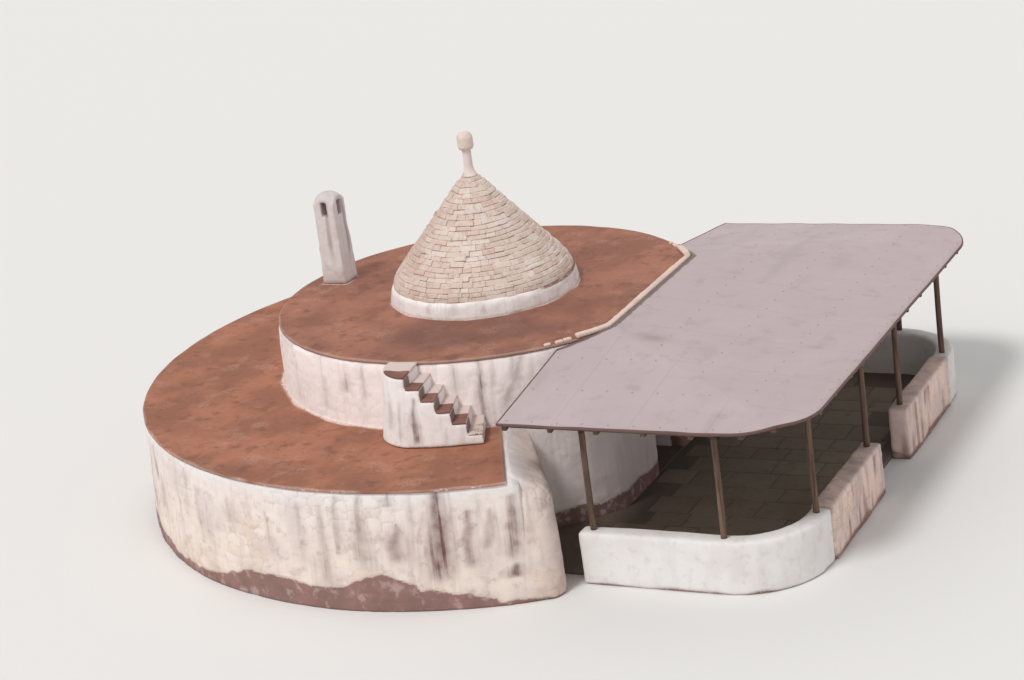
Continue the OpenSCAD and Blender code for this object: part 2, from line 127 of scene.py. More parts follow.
SHEET_T, SHEET_W = 0.035, 1.06
CANOPY_X = end_of("canopy_sheet", HIGH, X)
CANOPY_Y = end_of("canopy_sheet", HIGH, Y)
CANOPY_START_X = end_of("canopy_sheet", LOW, X)
CANOPY_CORNER = 1.05
CANOPY_RIDGE = end_of("canopy_sheet", HIGH, Z)
CANOPY_EAVE = round(end_of("canopy_sheet", LOW, Z) + SHEET_T, 3)
BEAM_HALF = 0.045
BEAM_X = round(end_of("canopy_beams", HIGH, X) - BEAM_HALF, 3)
BEAM_Y = round(end_of("canopy_beams", HIGH, Y) - BEAM_HALF, 3)
BEAM_UNDER_Z = end_of("canopy_beams", LOW, Z)
POST_INSET = 0.18

CORNERS = [(x, y, z) for x in (0, 1) for y in (0, 1) for z in (0, 1)]


# Numbers for hand-made unevenness

def ease(t):
    t = np.clip(t, 0, 1)
    return t * t * (3 - 2 * t)


def hashed(i, j, k, seed):
    """An even random number, 0 to 1, for each whole-number place."""
    h = (i * 73856093) ^ (j * 19349663) ^ (k * 83492791) ^ (seed * 2654435761)
    h = h & 0xFFFFFFFF
    h = ((h ^ (h >> 15)) * 2246822519) & 0xFFFFFFFF
    h = ((h ^ (h >> 13)) * 3266489917) & 0xFFFFFFFF
    return ((h ^ (h >> 16)) & 0xFFFFFF) / 0xFFFFFF


def lumps(points, size, seed):
    """Smooth unevenness, -1 to 1, with lumps of about one size."""
    q = np.asarray(points, float) / size
    i = np.floor(q).astype(np.int64)
    f = q - i
    f = f * f * (3 - 2 * f)
    total = np.zeros(len(q))
    for dx, dy, dz in CORNERS:
        share = ((f[:, 0] if dx else 1 - f[:, 0]) * (f[:, 1] if dy else 1 - f[:, 1])
                 * (f[:, 2] if dz else 1 - f[:, 2]))
        total += share * hashed(i[:, 0] + dx, i[:, 1] + dy, i[:, 2] + dz, seed)
    return total * 2 - 1


def uneven(points, size, seed, layers=3):
    """Unevenness of several sizes together."""
    return sum(lumps(points, size / 2 ** k, seed + 17 * k) / 2 ** k for k in range(layers))


def around(co):
    """Angle and distance of each point round the axis of the house."""
    return np.arctan2(co[:, 1], co[:, 0]), np.hypot(co[:, 0], co[:, 1])


def stones_in_wall(along, up, long, high, seed):
    """For each point on a wall: nearness to a joint, 0 to 1, and the tone of its stone, 0 to 1."""
    row = np.floor(up / high).astype(np.int64)
    near = np.full(len(along), 9.0)
    second = near.copy()
    tone = np.zeros(len(along))
    for dj in (-1, 0, 1):
        j = row + dj
        shift = hashed(j, j * 0, j * 0, seed) * long
        column = np.floor((along - shift) / long).astype(np.int64)
        for di in (-2, -1, 0, 1, 2):
            i = column + di
            x = (i + 0.5 + 0.7 * (hashed(i, j, j * 0 + 1, seed) - 0.5)) * long + shift
            z = (j + 0.5 + 0.5 * (hashed(i, j, j * 0 + 2, seed) - 0.5)) * high
            away = np.hypot((along - x) / long, (up - z) / high)
            closer = away < near
            second = np.where(closer, near, np.minimum(second, away))
            tone = np.where(closer, hashed(i, j, j * 0 + 3, seed), tone)
            near = np.where(closer, away, near)
    return 1 - ease((second - near) / 0.30), tone


def rubble_under_limewash(co, along, seed, long, high):
    """Unevenness of a limewashed rubble wall, its joints and the tones of its stones."""
    along = along + 0.06 * lumps(co, 0.33, seed + 1)
    up = co[:, 2] + 0.04 * lumps(co, 0.27, seed + 2)
    joint, tone = stones_in_wall(along, up, long, high, seed)
    bare = 0.25 + 0.75 * ease(0.5 + 1.1 * lumps(co, 0.7, seed + 3))
    stones = bare * (0.006 * (1 - joint) + 0.007 * (tone - 0.5))
    relief = (stones + 0.012 * lumps(co, 1.3, seed + 4) + 0.008 * lumps(co, 0.28, seed + 5)
              + 0.005 * lumps(co, 0.1, seed + 6))
    return relief, joint * bare, tone * bare


# Making and dressing pieces

def mesh_piece(name, verts, faces, smooth=True):
    mesh = bpy.data.meshes.new(name)
    mesh.from_pydata([tuple(v) for v in verts], [], [tuple(f) for f in faces])
    mesh.validate()
    if smooth:
        mesh.polygons.foreach_set("use_smooth", [True] * len(mesh.polygons))
    return shown(name, mesh)


def shown(name, data):
    """A mesh, lamp or camera put in the scene."""
    piece = bpy.data.objects.new(name, data)
    bpy.context.scene.collection.objects.link(piece)
    return piece


def points_of(piece):
    co = np.zeros(len(piece.data.vertices) * 3)
    piece.data.vertices.foreach_get("co", co)
    return co.reshape(-1, 3)


def normals_of(piece):
    n = np.zeros(len(piece.data.vertices) * 3)
    piece.data.vertex_normals.foreach_get("vector", n)
    return n.reshape(-1, 3)


def kept_in_box(co):
    """Points moved in by the little that unevenness takes them past the CAD box."""
    return np.clip(co, np.array(cad_low) + 0.0005, np.array(cad_high) - 0.0005)


def set_points(piece, co):
    piece.data.vertices.foreach_set("co", kept_in_box(co).ravel())
    piece.data.update()


def raise_by(piece, amount):
    """Moves each point along its normal."""
    set_points(piece, points_of(piece) + normals_of(piece) * amount[:, None])


def mark(piece, **marks):
    """Keeps numbers for each point of the piece, which its finish reads."""
    for name, values in marks.items():
        numbers = piece.data.attributes.get(name) or piece.data.attributes.new(name, "FLOAT", "POINT")
        numbers.data.foreach_set("value", np.full(len(piece.data.vertices), values, np.float32))


def finished_in(piece, finish):
    piece.data.materials.clear()
    piece.data.materials.append(finish)


def dress(piece, finish, stands_for=()):
    """Gives a piece its finish and its place on the house."""
    finished_in(piece, finish)
    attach(piece, "root")
    if stands_for:
        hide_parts(*stands_for)


def swept(name, loops, closed=False):
    """A closed piece from loops of points, one loop for each place along its run."""
    loops = np.asarray(loops, float)
    count, size = loops.shape[:2]
    faces = []
    for i in range(count if closed else count - 1):
        a, b = i * size, (i + 1) % count * size
        for j in range(size):
            k = (j + 1) % size
            faces.append((a + j, b + j, b + k, a + k))
    if not closed:
        faces.append(tuple(range(size)))
        faces.append(tuple(count * size - 1 - j for j in range(size)))
    piece = mesh_piece(name, loops.reshape(-1, 3), faces)
    outward(piece)
    return piece


def outward(piece):
    """Turns the faces so that they look outwards."""
    co = points_of(piece)
    piece.data.calc_loop_triangles()
    corners = np.zeros(len(piece.data.loop_triangles) * 3, np.int64)
    piece.data.loop_triangles.foreach_get("vertices", corners)
    a, b, c = (co[corners.reshape(-1, 3)[:, k]] for k in range(3))
    if np.einsum("ij,ij->i", a, np.cross(b, c)).sum() < 0:
        piece.data.flip_normals()


def worn_copy(name, node_names, grain, passes):
    """The CAD nodes as one hand-made piece, its edges rounded by hand and weather."""
    verts, faces = [], []
    for node_name in node_names:
        mesh, start = cad[node_name].data, len(verts)
        verts += [v.co[:] for v in mesh.vertices]
        faces += [[start + i for i in p.vertices] for p in mesh.polygons]
    rough = mesh_piece(name + "_core", verts, faces)
    remesh = rough.modifiers.new("grain", "REMESH")
    remesh.mode = "VOXEL"
    remesh.voxel_size = grain
    made = bpy.data.meshes.new_from_object(rough.evaluated_get(bpy.context.evaluated_depsgraph_get()))
    bpy.data.objects.remove(rough)
    made.polygons.foreach_set("use_smooth", [True] * len(made.polygons))
    made.name = name
    piece = shown(name, made)
    rub_down(piece, passes)
    return piece


def rub_down(piece, passes):
    """Moves each point towards the middle of its neighbours."""
    edges = np.zeros(len(piece.data.edges) * 2, np.int64)
    piece.data.edges.foreach_get("vertices", edges)
    a, b = edges.reshape(-1, 2).T
    co = points_of(piece)
    neighbours = np.bincount(a, minlength=len(co)) + np.bincount(b, minlength=len(co))
    for _ in range(passes):
        total = np.zeros_like(co)
        for axis in range(3):
            total[:, axis] = np.bincount(a, co[b, axis], len(co)) + np.bincount(b, co[a, axis], len(co))
        co = co + 0.6 * (total / np.maximum(neighbours, 1)[:, None] - co)
    piece.data.vertices.foreach_set("co", co.ravel())
    piece.data.update()


# Run marks

# Each mark: angle at its top, angle at its foot, half width, height of its top and foot, strength
TIER_RUNS = [(-73.2, -74.0, 0.14, 1.64, 0.46, 1.0), (-73.6, -74.1, 0.07, 1.30, 0.70, 1.0),
             (-68.9, -69.5, 0.08, 1.36, 0.60, 0.75), (-69.3, -69.5, 0.05, 1.00, 0.66, 0.9),
             (-65.8, -66.3, 0.07, 1.34, 0.84, 0.55), (-62.6, -63.2, 0.10, 1.50, 0.66, 0.75),
             (-62.9, -63.2, 0.05, 1.30, 0.80, 0.9), (-63.0, -63.3, 0.10, 0.56, 0.38, 0.8),
             (-79.5, -80.0, 0.10, 1.22, 0.70, 0.7), (-80.2, -80.4, 0.06, 1.62, 1.45, 0.6),
             (-77.0, -77.3, 0.04, 1.60, 0.80, 0.25), (-71.2, -71.4, 0.03, 1.62, 0.60, 0.3),
             (-84.8, -85.3, 0.08, 1.60, 0.60, 0.6), (-67.4, -67.6, 0.025, 1.60, 1.0, 0.25),
             (-88.5, -88.9, 0.05, 1.60, 0.80, 0.5)]
SHOULDER_RUNS = [(-60.2, -60.6, 0.04, 1.5, 0.9, 0.35), (-57.8, -57.9, 0.10, 1.46, 1.22, 0.3)]
DRUM_RUNS = [(-66.2, -67.2, 0.045, 2.62, 1.72, 0.75), (-55.2, -61.0, 0.06, 2.62, 1.90, 0.45),
             (-73.4, -72.8, 0.06, 2.60, 2.15, 0.35), (-63.0, -63.4, 0.03, 2.60, 2.2, 0.3),
             (-57.8, -58.6, 0.05, 2.60, 2.1, 0.4)]
STAIR_RUNS = [(-80.2, -80.5, 0.045, 2.36, 1.74, 0.85), (-83.4, -83.8, 0.05, 2.3, 1.8, 0.3),
              (-73.8, -74.0, 0.03, 1.95, 1.72, 0.3), (-86.2, -86.4, 0.05, 2.3, 1.9, 0.4)]


def more_runs(seed, first, last, top, foot, every):
    """Run marks for the rest of a round wall, from one seed."""
    draw = np.random.RandomState(seed)
    marks, angle = [], first
    while angle < last:
        angle += every * (0.4 + 1.2 * draw.rand())
        start = top - (top - foot) * 0.35 * draw.rand()
        end = foot + (start - foot) * 0.7 * draw.rand()
        marks.append((angle, angle + 1.5 * (draw.rand() - 0.5), 0.03 + 0.07 * draw.rand(), start, end,
                      0.15 + 0.45 * draw.rand()))
    return marks


def run_marks(co, marks, seed):
    """How strongly each point is stained by water that ran down the wall, 0 to 1."""
    angle, r = around(co)
    degrees, z = np.degrees(angle), co[:, 2]
    stain = np.zeros(len(co))
    wander = 0.035 * lumps(co, 0.30, seed) + 0.012 * lumps(co, 0.09, seed + 1)
    for top_angle, foot_angle, half, top, foot, strength in marks:
        t = np.clip((top - z) / (top - foot), 0, 1.3)
        turn = (degrees - (top_angle + (foot_angle - top_angle) * t) + 180) % 360 - 180
        across = np.radians(turn) * r + wander * ease(t * 4)
        width = half * (0.45 + 0.65 * ease(t * 1.6))
        down = ease((top - z) / 0.06 + 0.5) * ease((z - foot) / (0.3 * (top - foot)) + 0.5)
        strands = (np.exp(-(across / width) ** 2)
                   + 0.25 * np.exp(-((across - 1.6 * width) / (0.35 * width)) ** 2)
                   + 0.2 * np.exp(-((across + 1.8 * width) / (0.3 * width)) ** 2) * (t > 0.2))
        stain = np.maximum(stain, strength * strands * down)
    return np.clip(stain * (0.9 + 0.22 * lumps(co, 0.09, seed + 2)), 0, 1)


# Shader nodes

def fill(tree, socket, value):
    """Joins a socket to what feeds it, or sets its value."""
    if isinstance(value, bpy.types.NodeSocket):
        tree.links.new(value, socket)
    else:
        socket.default_value = value


def put(tree, kind, feeds=None, **settings):
    """Adds a node, sets it and fills its sockets."""
    n = tree.nodes.new(kind)
    for key, value in settings.items():
        setattr(n, key, value)
    for key, value in (feeds or {}).items():
        fill(tree, n.inputs[key], value)
    return n


def sums(tree, operation, a, b=0.0, clamp=False):
    return put(tree, "ShaderNodeMath", {0: a, 1: b}, operation=operation, use_clamp=clamp).outputs[0]


def parts(tree, a, part_a, b, part_b):
    """Two values added, each by its part."""
    return sums(tree, "ADD", sums(tree, "MULTIPLY", a, part_a), sums(tree, "MULTIPLY", b, part_b))


def spread(tree, value, low, high, to_low=0.0, to_high=1.0):
    return put(tree, "ShaderNodeMapRange", {0: value, 1: low, 2: high, 3: to_low, 4: to_high},
               interpolation_type="SMOOTHSTEP").outputs[0]


def blended(tree, share, a, b):
    return put(tree, "ShaderNodeMix", {0: share, 6: a, 7: b}, data_type="RGBA").outputs[2]


def noise(tree, place, scale, detail, roughness=0.5, distortion=0.0):
    return put(tree, "ShaderNodeTexNoise", {"Vector": place, "Scale": scale, "Detail": detail,
                                            "Roughness": roughness, "Distortion": distortion})


def on_house(tree):
    """The point's place in the house's own frame."""
    return tree.nodes.new("ShaderNodeTexCoord").outputs["Object"]


def axes(tree, place):
    return put(tree, "ShaderNodeSeparateXYZ", {0: place}).outputs


def srgb(r, g, b):
    """A colour as it is seen, 0 to 255, as the renderer's own numbers."""
    return tuple((c / 12.92 if c <= 0.04045 else ((c + 0.055) / 1.055) ** 2.4)
                 for c in (r / 255, g / 255, b / 255)) + (1.0,)


def times(colour, share):
    return tuple(min(1.0, c * share) for c in colour[:3]) + (1.0,)


def effect(name, takes, gives):
    """A shared effect: a node group with named sockets."""
    tree = bpy.data.node_groups.new(name, "ShaderNodeTree")
    for socket, value in takes.items():
        kind = "NodeSocketVector" if isinstance(value, tuple) else "NodeSocketFloat"
        tree.interface.new_socket(socket, in_out="INPUT", socket_type=kind).default_value = value
    for socket in gives:
        tree.interface.new_socket(socket, in_out="OUTPUT", socket_type="NodeSocketFloat")
    given = tree.nodes.new("NodeGroupOutput").inputs
    return tree, tree.nodes.new("NodeGroupInput").outputs, given


def moved_by_seed(tree, seed):
    return put(tree, "ShaderNodeVectorMath", {0: on_house(tree), 1: seed}, operation="ADD").outputs[0]


def make_mottle():
    """Soft patches of one size, and grains a ninth as large."""
    tree, takes, gives = effect("mottle", {"Size": 0.5, "Seed": 0.0, "Contrast": 1.0}, ["Mask", "Fine"])
    place = moved_by_seed(tree, takes["Seed"])
    scale = sums(tree, "DIVIDE", 1.0, takes["Size"])
    big = noise(tree, place, scale, 6.0, 0.6).outputs[0]
    fine = noise(tree, place, sums(tree, "MULTIPLY", scale, 9.0), 4.0, 0.65).outputs[0]
    centred = sums(tree, "MULTIPLY", sums(tree, "SUBTRACT", big, 0.5), takes["Contrast"])
    fill(tree, gives["Mask"], sums(tree, "ADD", sums(tree, "MULTIPLY", centred, 2.2), 0.5, clamp=True))
    fill(tree, gives["Fine"], spread(tree, fine, 0.3, 0.7))
    return tree


def make_runs():
    """Thin streaks that run down a wall, stretched along Z."""
    tree, takes, gives = effect("fine_runs", {"Width": 0.05, "Seed": 0.0}, ["Mask"])
    x, y, z = axes(tree, on_house(tree))
    usual_r = 4.2
    round_wall = sums(tree, "MULTIPLY", sums(tree, "ARCTAN2", y, x), usual_r)
    across = sums(tree, "DIVIDE", sums(tree, "ADD", round_wall, takes["Seed"]), takes["Width"])
    place = put(tree, "ShaderNodeCombineXYZ", {0: across, 1: sums(tree, "MULTIPLY", z, 1.3)}).outputs[0]
    fill(tree, gives["Mask"], spread(tree, noise(tree, place, 0.5, 3.0, 0.55).outputs[0], 0.5, 0.72))
    return tree


def make_grit():
    """Height of sand grains and trowel marks."""
    tree, takes, gives = effect("grit", {"Grain": 0.006, "Trowel": 0.12, "Seed": 0.0}, ["Height"])
    place = moved_by_seed(tree, takes["Seed"])
    grain = noise(tree, place, sums(tree, "DIVIDE", 1.0, takes["Grain"]), 3.0, 0.7).outputs[0]
    trowel = noise(tree, place, sums(tree, "DIVIDE", 1.0, takes["Trowel"]), 2.0, distortion=0.8).outputs[0]
    fill(tree, gives["Height"], sums(tree, "ADD", sums(tree, "MULTIPLY", grain, 0.35), trowel))
    return tree


def make_worn_edge():
    """A kept number with its soft edges broken up by noise; up to Film it stays a thin film."""
    tree, takes, gives = effect("worn_edge", {"Value": 0.0, "Noise": 0.5, "Film": 0.3}, ["Mask"])
    value = takes["Value"]
    soft = sums(tree, "MULTIPLY", value, sums(tree, "SUBTRACT", 1.0, value))
    loose = sums(tree, "MULTIPLY", soft, spread(tree, value, 0.22, 0.50, 0.0, 4.0))
    moved = sums(tree, "ADD", value,
                 sums(tree, "MULTIPLY", sums(tree, "SUBTRACT", takes["Noise"], 0.5), loose))
    film = sums(tree, "MINIMUM", value, takes["Film"])
    fill(tree, gives["Mask"], sums(tree, "MAXIMUM", film, spread(tree, moved, 0.36, 0.64)))
    return tree


def make_hair_cracks():
    """A wandering net of hair cracks, about a metre apart."""
    tree, _, gives = effect("hair_cracks", {}, ["Mask"])
    place = on_house(tree)
    bent = noise(tree, place, 3.0, 3.0).outputs["Color"]
    wound = put(tree, "ShaderNodeVectorMath", {0: place, 1: bent}, operation="ADD").outputs[0]
    net = put(tree, "ShaderNodeTexVoronoi", {"Vector": wound, "Scale": 1.1}, feature="DISTANCE_TO_EDGE")
    fill(tree, gives["Mask"], spread(tree, net.outputs["Distance"], 0.0, 0.008, 1.0, 0.0))
    return tree


def make_sheet_joints():
    """Where one sheet laps over the next down each slope, and a painted shadow line along the wall."""
    tree, _, gives = effect("sheet_joints", {}, ["Lap", "WallShadow"])
    place = on_house(tree)
    x, y, _ = axes(tree, place)
    corner = math.sqrt(DRUM_TOP_R ** 2 - FACADE_X ** 2)
    from_front = sums(tree, "DIVIDE", sums(tree, "SUBTRACT", CANOPY_Y, sums(tree, "ABSOLUTE", y)),
                      CANOPY_Y - corner)
    from_side = sums(tree, "DIVIDE", sums(tree, "SUBTRACT", CANOPY_X, x), CANOPY_X - FACADE_X)
    on_side = sums(tree, "LESS_THAN", from_side, from_front)
    along = parts(tree, y, on_side, x, sums(tree, "SUBTRACT", 1.0, on_side))
    in_sheet = sums(tree, "FRACT", sums(tree, "ADD", sums(tree, "DIVIDE", along, SHEET_W), 0.27))
    fill(tree, gives["Lap"], spread(tree, in_sheet, 0.0, 0.010, 1.0, 0.0))
    r = sums(tree, "SQRT", parts(tree, x, x, y, y))
    away = sums(tree, "MAXIMUM", sums(tree, "SUBTRACT", r, DRUM_TOP_R), sums(tree, "SUBTRACT", x, FACADE_X))
    ragged = sums(tree, "MULTIPLY", noise(tree, place, 9.0, 3.0).outputs[0], 0.05)
    fill(tree, gives["WallShadow"], spread(tree, sums(tree, "ADD", away, ragged), 0.085, 0.115, 1.0, 0.0))
    return tree


def make_timber_grain():
    """Grain along the axis that is stretched least."""
    tree, takes, gives = effect("timber_grain", {"Stretch": (14.0, 14.0, 14.0)}, ["Grain"])
    feeds = {0: on_house(tree), 1: takes["Stretch"]}
    pulled = put(tree, "ShaderNodeVectorMath", feeds, operation="MULTIPLY").outputs[0]
    fill(tree, gives["Grain"], noise(tree, pulled, 2.2, 6.0, 0.62, 0.4).outputs[0])
    return tree


MOTTLE, FINE_RUNS, GRIT, WORN_EDGE = make_mottle(), make_runs(), make_grit(), make_worn_edge()
HAIR_CRACKS, SHEET_JOINTS, TIMBER_GRAIN = make_hair_cracks(), make_sheet_joints(), make_timber_grain()


# Finishes

def use(tree, group, **values):
    """A shared effect in a finish, with the finish's own values."""
    n = put(tree, "ShaderNodeGroup", node_tree=group)
    for key, value in values.items():
        fill(tree, n.inputs[key], value)
    return n.outputs


def kept(tree, name):
    """A number that the piece keeps for each of its points."""
    return put(tree, "ShaderNodeAttribute", attribute_name=name).outputs["Fac"]


def layered(tree, colour, *layers):
    """Thin layers over a colour: each has a mask, its share and its own colour, 0 to 255."""
    for mask, share, over in layers:
        colour = blended(tree, sums(tree, "MULTIPLY", mask, share), colour, srgb(*over))
    return colour


def new_finish(name, roughness):
    m = bpy.data.materials.new(name)
    m.use_nodes = True
    shader = m.node_tree.nodes["Principled BSDF"]
    shader.inputs["Roughness"].default_value = roughness
    return m, m.node_tree, shader


def finish_off(tree, shader, colour, height, strength, distance):
    fill(tree, shader.inputs["Base Color"], colour)
    bump = put(tree, "ShaderNodeBump", {"Height": height, "Strength": strength, "Distance": distance})
    fill(tree, shader.inputs["Normal"], bump.outputs[0])


def limewash(name, white, seed, patch, runs, stones=0.0):
    """Limewash over rubble or plaster, with lilac-grey patches, run marks, dull joints, a darker foot, and a
    dirt layer that on some pieces is painted shade.
    """
    m, t, shader = new_finish(name, 0.92)
    cloud = use(t, MOTTLE, Size=0.55, Seed=seed)
    spots = use(t, MOTTLE, Size=0.15, Seed=seed + 5.0, Contrast=1.3)
    streaks = use(t, FINE_RUNS, Width=0.07, Seed=seed)
    strands = use(t, FINE_RUNS, Width=0.022, Seed=seed + 3.0)
    joint = kept(t, "joint")
    colour = layered(
        t, srgb(*white),
        (spread(t, cloud["Mask"], 0.35, 0.85), patch, (212, 194, 192)),
        (spread(t, spots["Mask"], 0.60, 0.95), patch * 0.8, (196, 172, 166)),
        (spread(t, spots["Fine"], 0.55, 1.0), patch * 0.25, (246, 238, 232)),
        (streaks["Mask"], runs, (184, 164, 162)),
        # The lime layer is fresh limewash, and on the chimney's +X face painted light.
        (kept(t, "lime"), 0.7, (240, 237, 240)),
        (spread(t, kept(t, "tone"), 0.55, 1.0), stones, (220, 196, 172)),
        (spread(t, joint, 0.35, 1.0), stones, (184, 162, 154)))
    grain = parts(t, strands["Mask"], 0.50, spots["Mask"], 0.30)
    run = sums(t, "MULTIPLY", kept(t, "stain"), sums(t, "ADD", 0.72, grain), clamp=True)
    colour = blended(t, run, colour, blended(t, cloud["Fine"], srgb(108, 74, 72), srgb(122, 88, 86)))
    crumbs = parts(t, spots["Mask"], 0.45, spots["Fine"], 0.55)
    # The dirt layer is real dirt, and on the tier's shoulders, the drum under the canopy and the cone's
    # plaster foot it is also painted shade.
    dirt_and_shade_mask = use(t, WORN_EDGE, Value=kept(t, "dirt"), Noise=crumbs, Film=0.4)["Mask"]
    washed = sums(t, "SUBTRACT", 1.0, sums(t, "MULTIPLY", spread(t, spots["Mask"], 0.55, 1.0), 0.35))
    dirt = blended(t, spread(t, cloud["Mask"], 0.3, 0.8), srgb(152, 115, 111), srgb(136, 107, 100))
    colour = blended(t, sums(t, "MULTIPLY", dirt_and_shade_mask, washed, clamp=True), colour, dirt)
    # The dark coat on the stair's risers is partly painted shade.
    colour = layered(t, colour, (kept(t, "coat"), 1.0, (112, 76, 68)))
    height = sums(t, "SUBTRACT", use(t, GRIT, Grain=0.012, Trowel=0.14, Seed=seed)["Height"],
                  sums(t, "MULTIPLY", joint, 0.35))
    finish_off(t, shader, colour, height, 0.55, 0.012)
    return m


def red_coat(name, red, seed):
    """A thin red-brown coat, blotched and scuffed, with hair cracks and limewash beside the walls."""
    m, t, shader = new_finish(name, 0.88)
    cloud = use(t, MOTTLE, Size=0.9, Seed=seed)
    spots = use(t, MOTTLE, Size=0.22, Seed=seed + 3.0, Contrast=1.2)
    scuffs = use(t, MOTTLE, Size=0.42, Seed=seed + 9.0, Contrast=1.3)
    red = srgb(*red)
    colour = blended(t, spread(t, cloud["Mask"], 0.25, 0.80), times(red, 0.93), times(red, 1.34))
    dark = sums(t, "MULTIPLY", spread(t, spots["Mask"], 0.58, 0.95), 0.7)
    colour = blended(t, dark, colour, times(red, 0.68))
    scuffed = sums(t, "MULTIPLY", spread(t, scuffs["Mask"], 0.62, 0.95), spread(t, spots["Fine"], 0.2, 0.8))
    crack = sums(t, "MULTIPLY", use(t, HAIR_CRACKS)["Mask"], 0.4)
    crumbs = parts(t, spots["Mask"], 0.5, spots["Fine"], 0.5)
    lime = use(t, WORN_EDGE, Value=kept(t, "lime"), Noise=crumbs, Film=0.25)["Mask"]
    # The stain layer holds real stains, and on the treads painted shade.
    colour = layered(t, colour, (scuffed, 0.45, (190, 150, 134)), (crack, 1.0, (96, 62, 54)),
                     (kept(t, "stain"), 1.0, (104, 70, 62)), (lime, 0.85, (226, 209, 202)))
    grit = use(t, GRIT, Grain=0.01, Trowel=0.25, Seed=seed)
    finish_off(t, shader, colour, sums(t, "SUBTRACT", grit["Height"], crack), 0.5, 0.01)
    return m


def cone_stone(name, seed):
    """Weathered limestone in cream, pink and grey, each stone a little different."""
    m, t, shader = new_finish(name, 0.93)
    tones = put(t, "ShaderNodeValToRGB", {0: kept(t, "tone")})
    tones.color_ramp.elements[0].color = srgb(213, 189, 176)
    tones.color_ramp.elements[1].color = srgb(230, 214, 204)
    for where, rgb in ((0.3, (222, 203, 191)), (0.5, (218, 196, 187)), (0.75, (225, 208, 195))):
        tones.color_ramp.elements.new(where).color = srgb(*rgb)
    cloud = use(t, MOTTLE, Size=0.55, Seed=seed, Contrast=1.3)
    spots = use(t, MOTTLE, Size=0.07, Seed=seed + 2.0, Contrast=1.4)
    wash = use(t, MOTTLE, Size=0.30, Seed=seed + 8.0, Contrast=1.3)
    colour = layered(t, tones.outputs[0],
                     (spread(t, cloud["Mask"], 0.5, 0.95), 0.5, (206, 172, 156)),
                     (spread(t, spots["Mask"], 0.55, 0.95), 0.4, (174, 148, 138)),
                     (spread(t, spots["Fine"], 0.55, 1.0), 0.4, (240, 228, 219)),
                     (spread(t, wash["Mask"], 0.5, 0.9), 0.5, (230, 218, 213)),
                     # On the face stones this layer is painted shade on one side of the cone.
                     (kept(t, "dirt"), 1.0, (150, 110, 95)))
    grit = use(t, GRIT, Grain=0.008, Trowel=0.05, Seed=seed)
    finish_off(t, shader, colour, grit["Height"], 0.8, 0.012)
    return m


def flagstone(name, stone, seed):
    m, t, shader = new_finish(name, 0.8)
    spots = use(t, MOTTLE, Size=0.12, Seed=seed, Contrast=1.2)
    cloud = use(t, MOTTLE, Size=0.6, Seed=seed + 4.0)
    colour = layered(t, srgb(*stone),
                     (kept(t, "tone"), 0.6, (124, 108, 92)),
                     (spread(t, cloud["Mask"], 0.4, 0.9), 0.4, (128, 106, 88)),
                     (spread(t, spots["Mask"], 0.6, 1.0), 0.4, (96, 84, 74)))
    grit = use(t, GRIT, Grain=0.007, Trowel=0.09, Seed=seed)
    finish_off(t, shader, colour, grit["Height"], 0.45, 0.008)
    return m


def coated_sheet(name, top, seed, roughness):
    """Matte coated sheet, faded and dusty, with laps, faint run stains and a painted shadow line along the
    wall.
    """
    m, t, shader = new_finish(name, roughness)
    cloud = use(t, MOTTLE, Size=1.4, Seed=seed)
    spots = use(t, MOTTLE, Size=0.3, Seed=seed + 6.0, Contrast=1.1)
    joints = use(t, SHEET_JOINTS)
    top = srgb(*top)
    faded = sums(t, "MULTIPLY", spread(t, cloud["Mask"], 0.3, 0.9), 0.6)
    dull = sums(t, "MULTIPLY", spread(t, spots["Mask"], 0.6, 1.0), 0.5)
    colour = blended(t, dull, blended(t, faded, top, times(top, 1.10)), times(top, 0.80))
    lap = sums(t, "MULTIPLY", joints["Lap"], 0.45)
    colour = layered(t, colour, (kept(t, "stain"), 1.0, (130, 116, 114)), (lap, 1.0, (120, 104, 104)),
                     (joints["WallShadow"], 0.85, (96, 74, 71)))
    grit = use(t, GRIT, Grain=0.004, Trowel=0.5, Seed=seed)
    fill(t, shader.inputs["Roughness"],
         spread(t, spots["Mask"], 0.0, 1.0, roughness - 0.06, roughness + 0.08))
    finish_off(t, shader, colour, sums(t, "SUBTRACT", grit["Height"], lap), 0.25, 0.006)
    return m


def weathered_timber(name, seed, along):
    """Weathered wood with grain along one axis, dark partly as painted shade under the canopy."""
    m, t, shader = new_finish(name, 0.78)
    grain = use(t, TIMBER_GRAIN, Stretch=[0.6 if axis == along else 14.0 for axis in (X, Y, Z)])["Grain"]
    cloud = use(t, MOTTLE, Size=0.5, Seed=seed)
    colour = blended(t, spread(t, grain, 0.3, 0.7), srgb(70, 50, 40), srgb(122, 96, 78))
    colour = layered(t, colour, (spread(t, cloud["Mask"], 0.5, 1.0), 0.5, (104, 92, 84)))
    finish_off(t, shader, colour, grain, 0.5, 0.006)
    return m


LIMED_RUBBLE = limewash("limewashed rubble", (241, 227, 217), 1.0, patch=0.6, runs=0.38, stones=0.3)
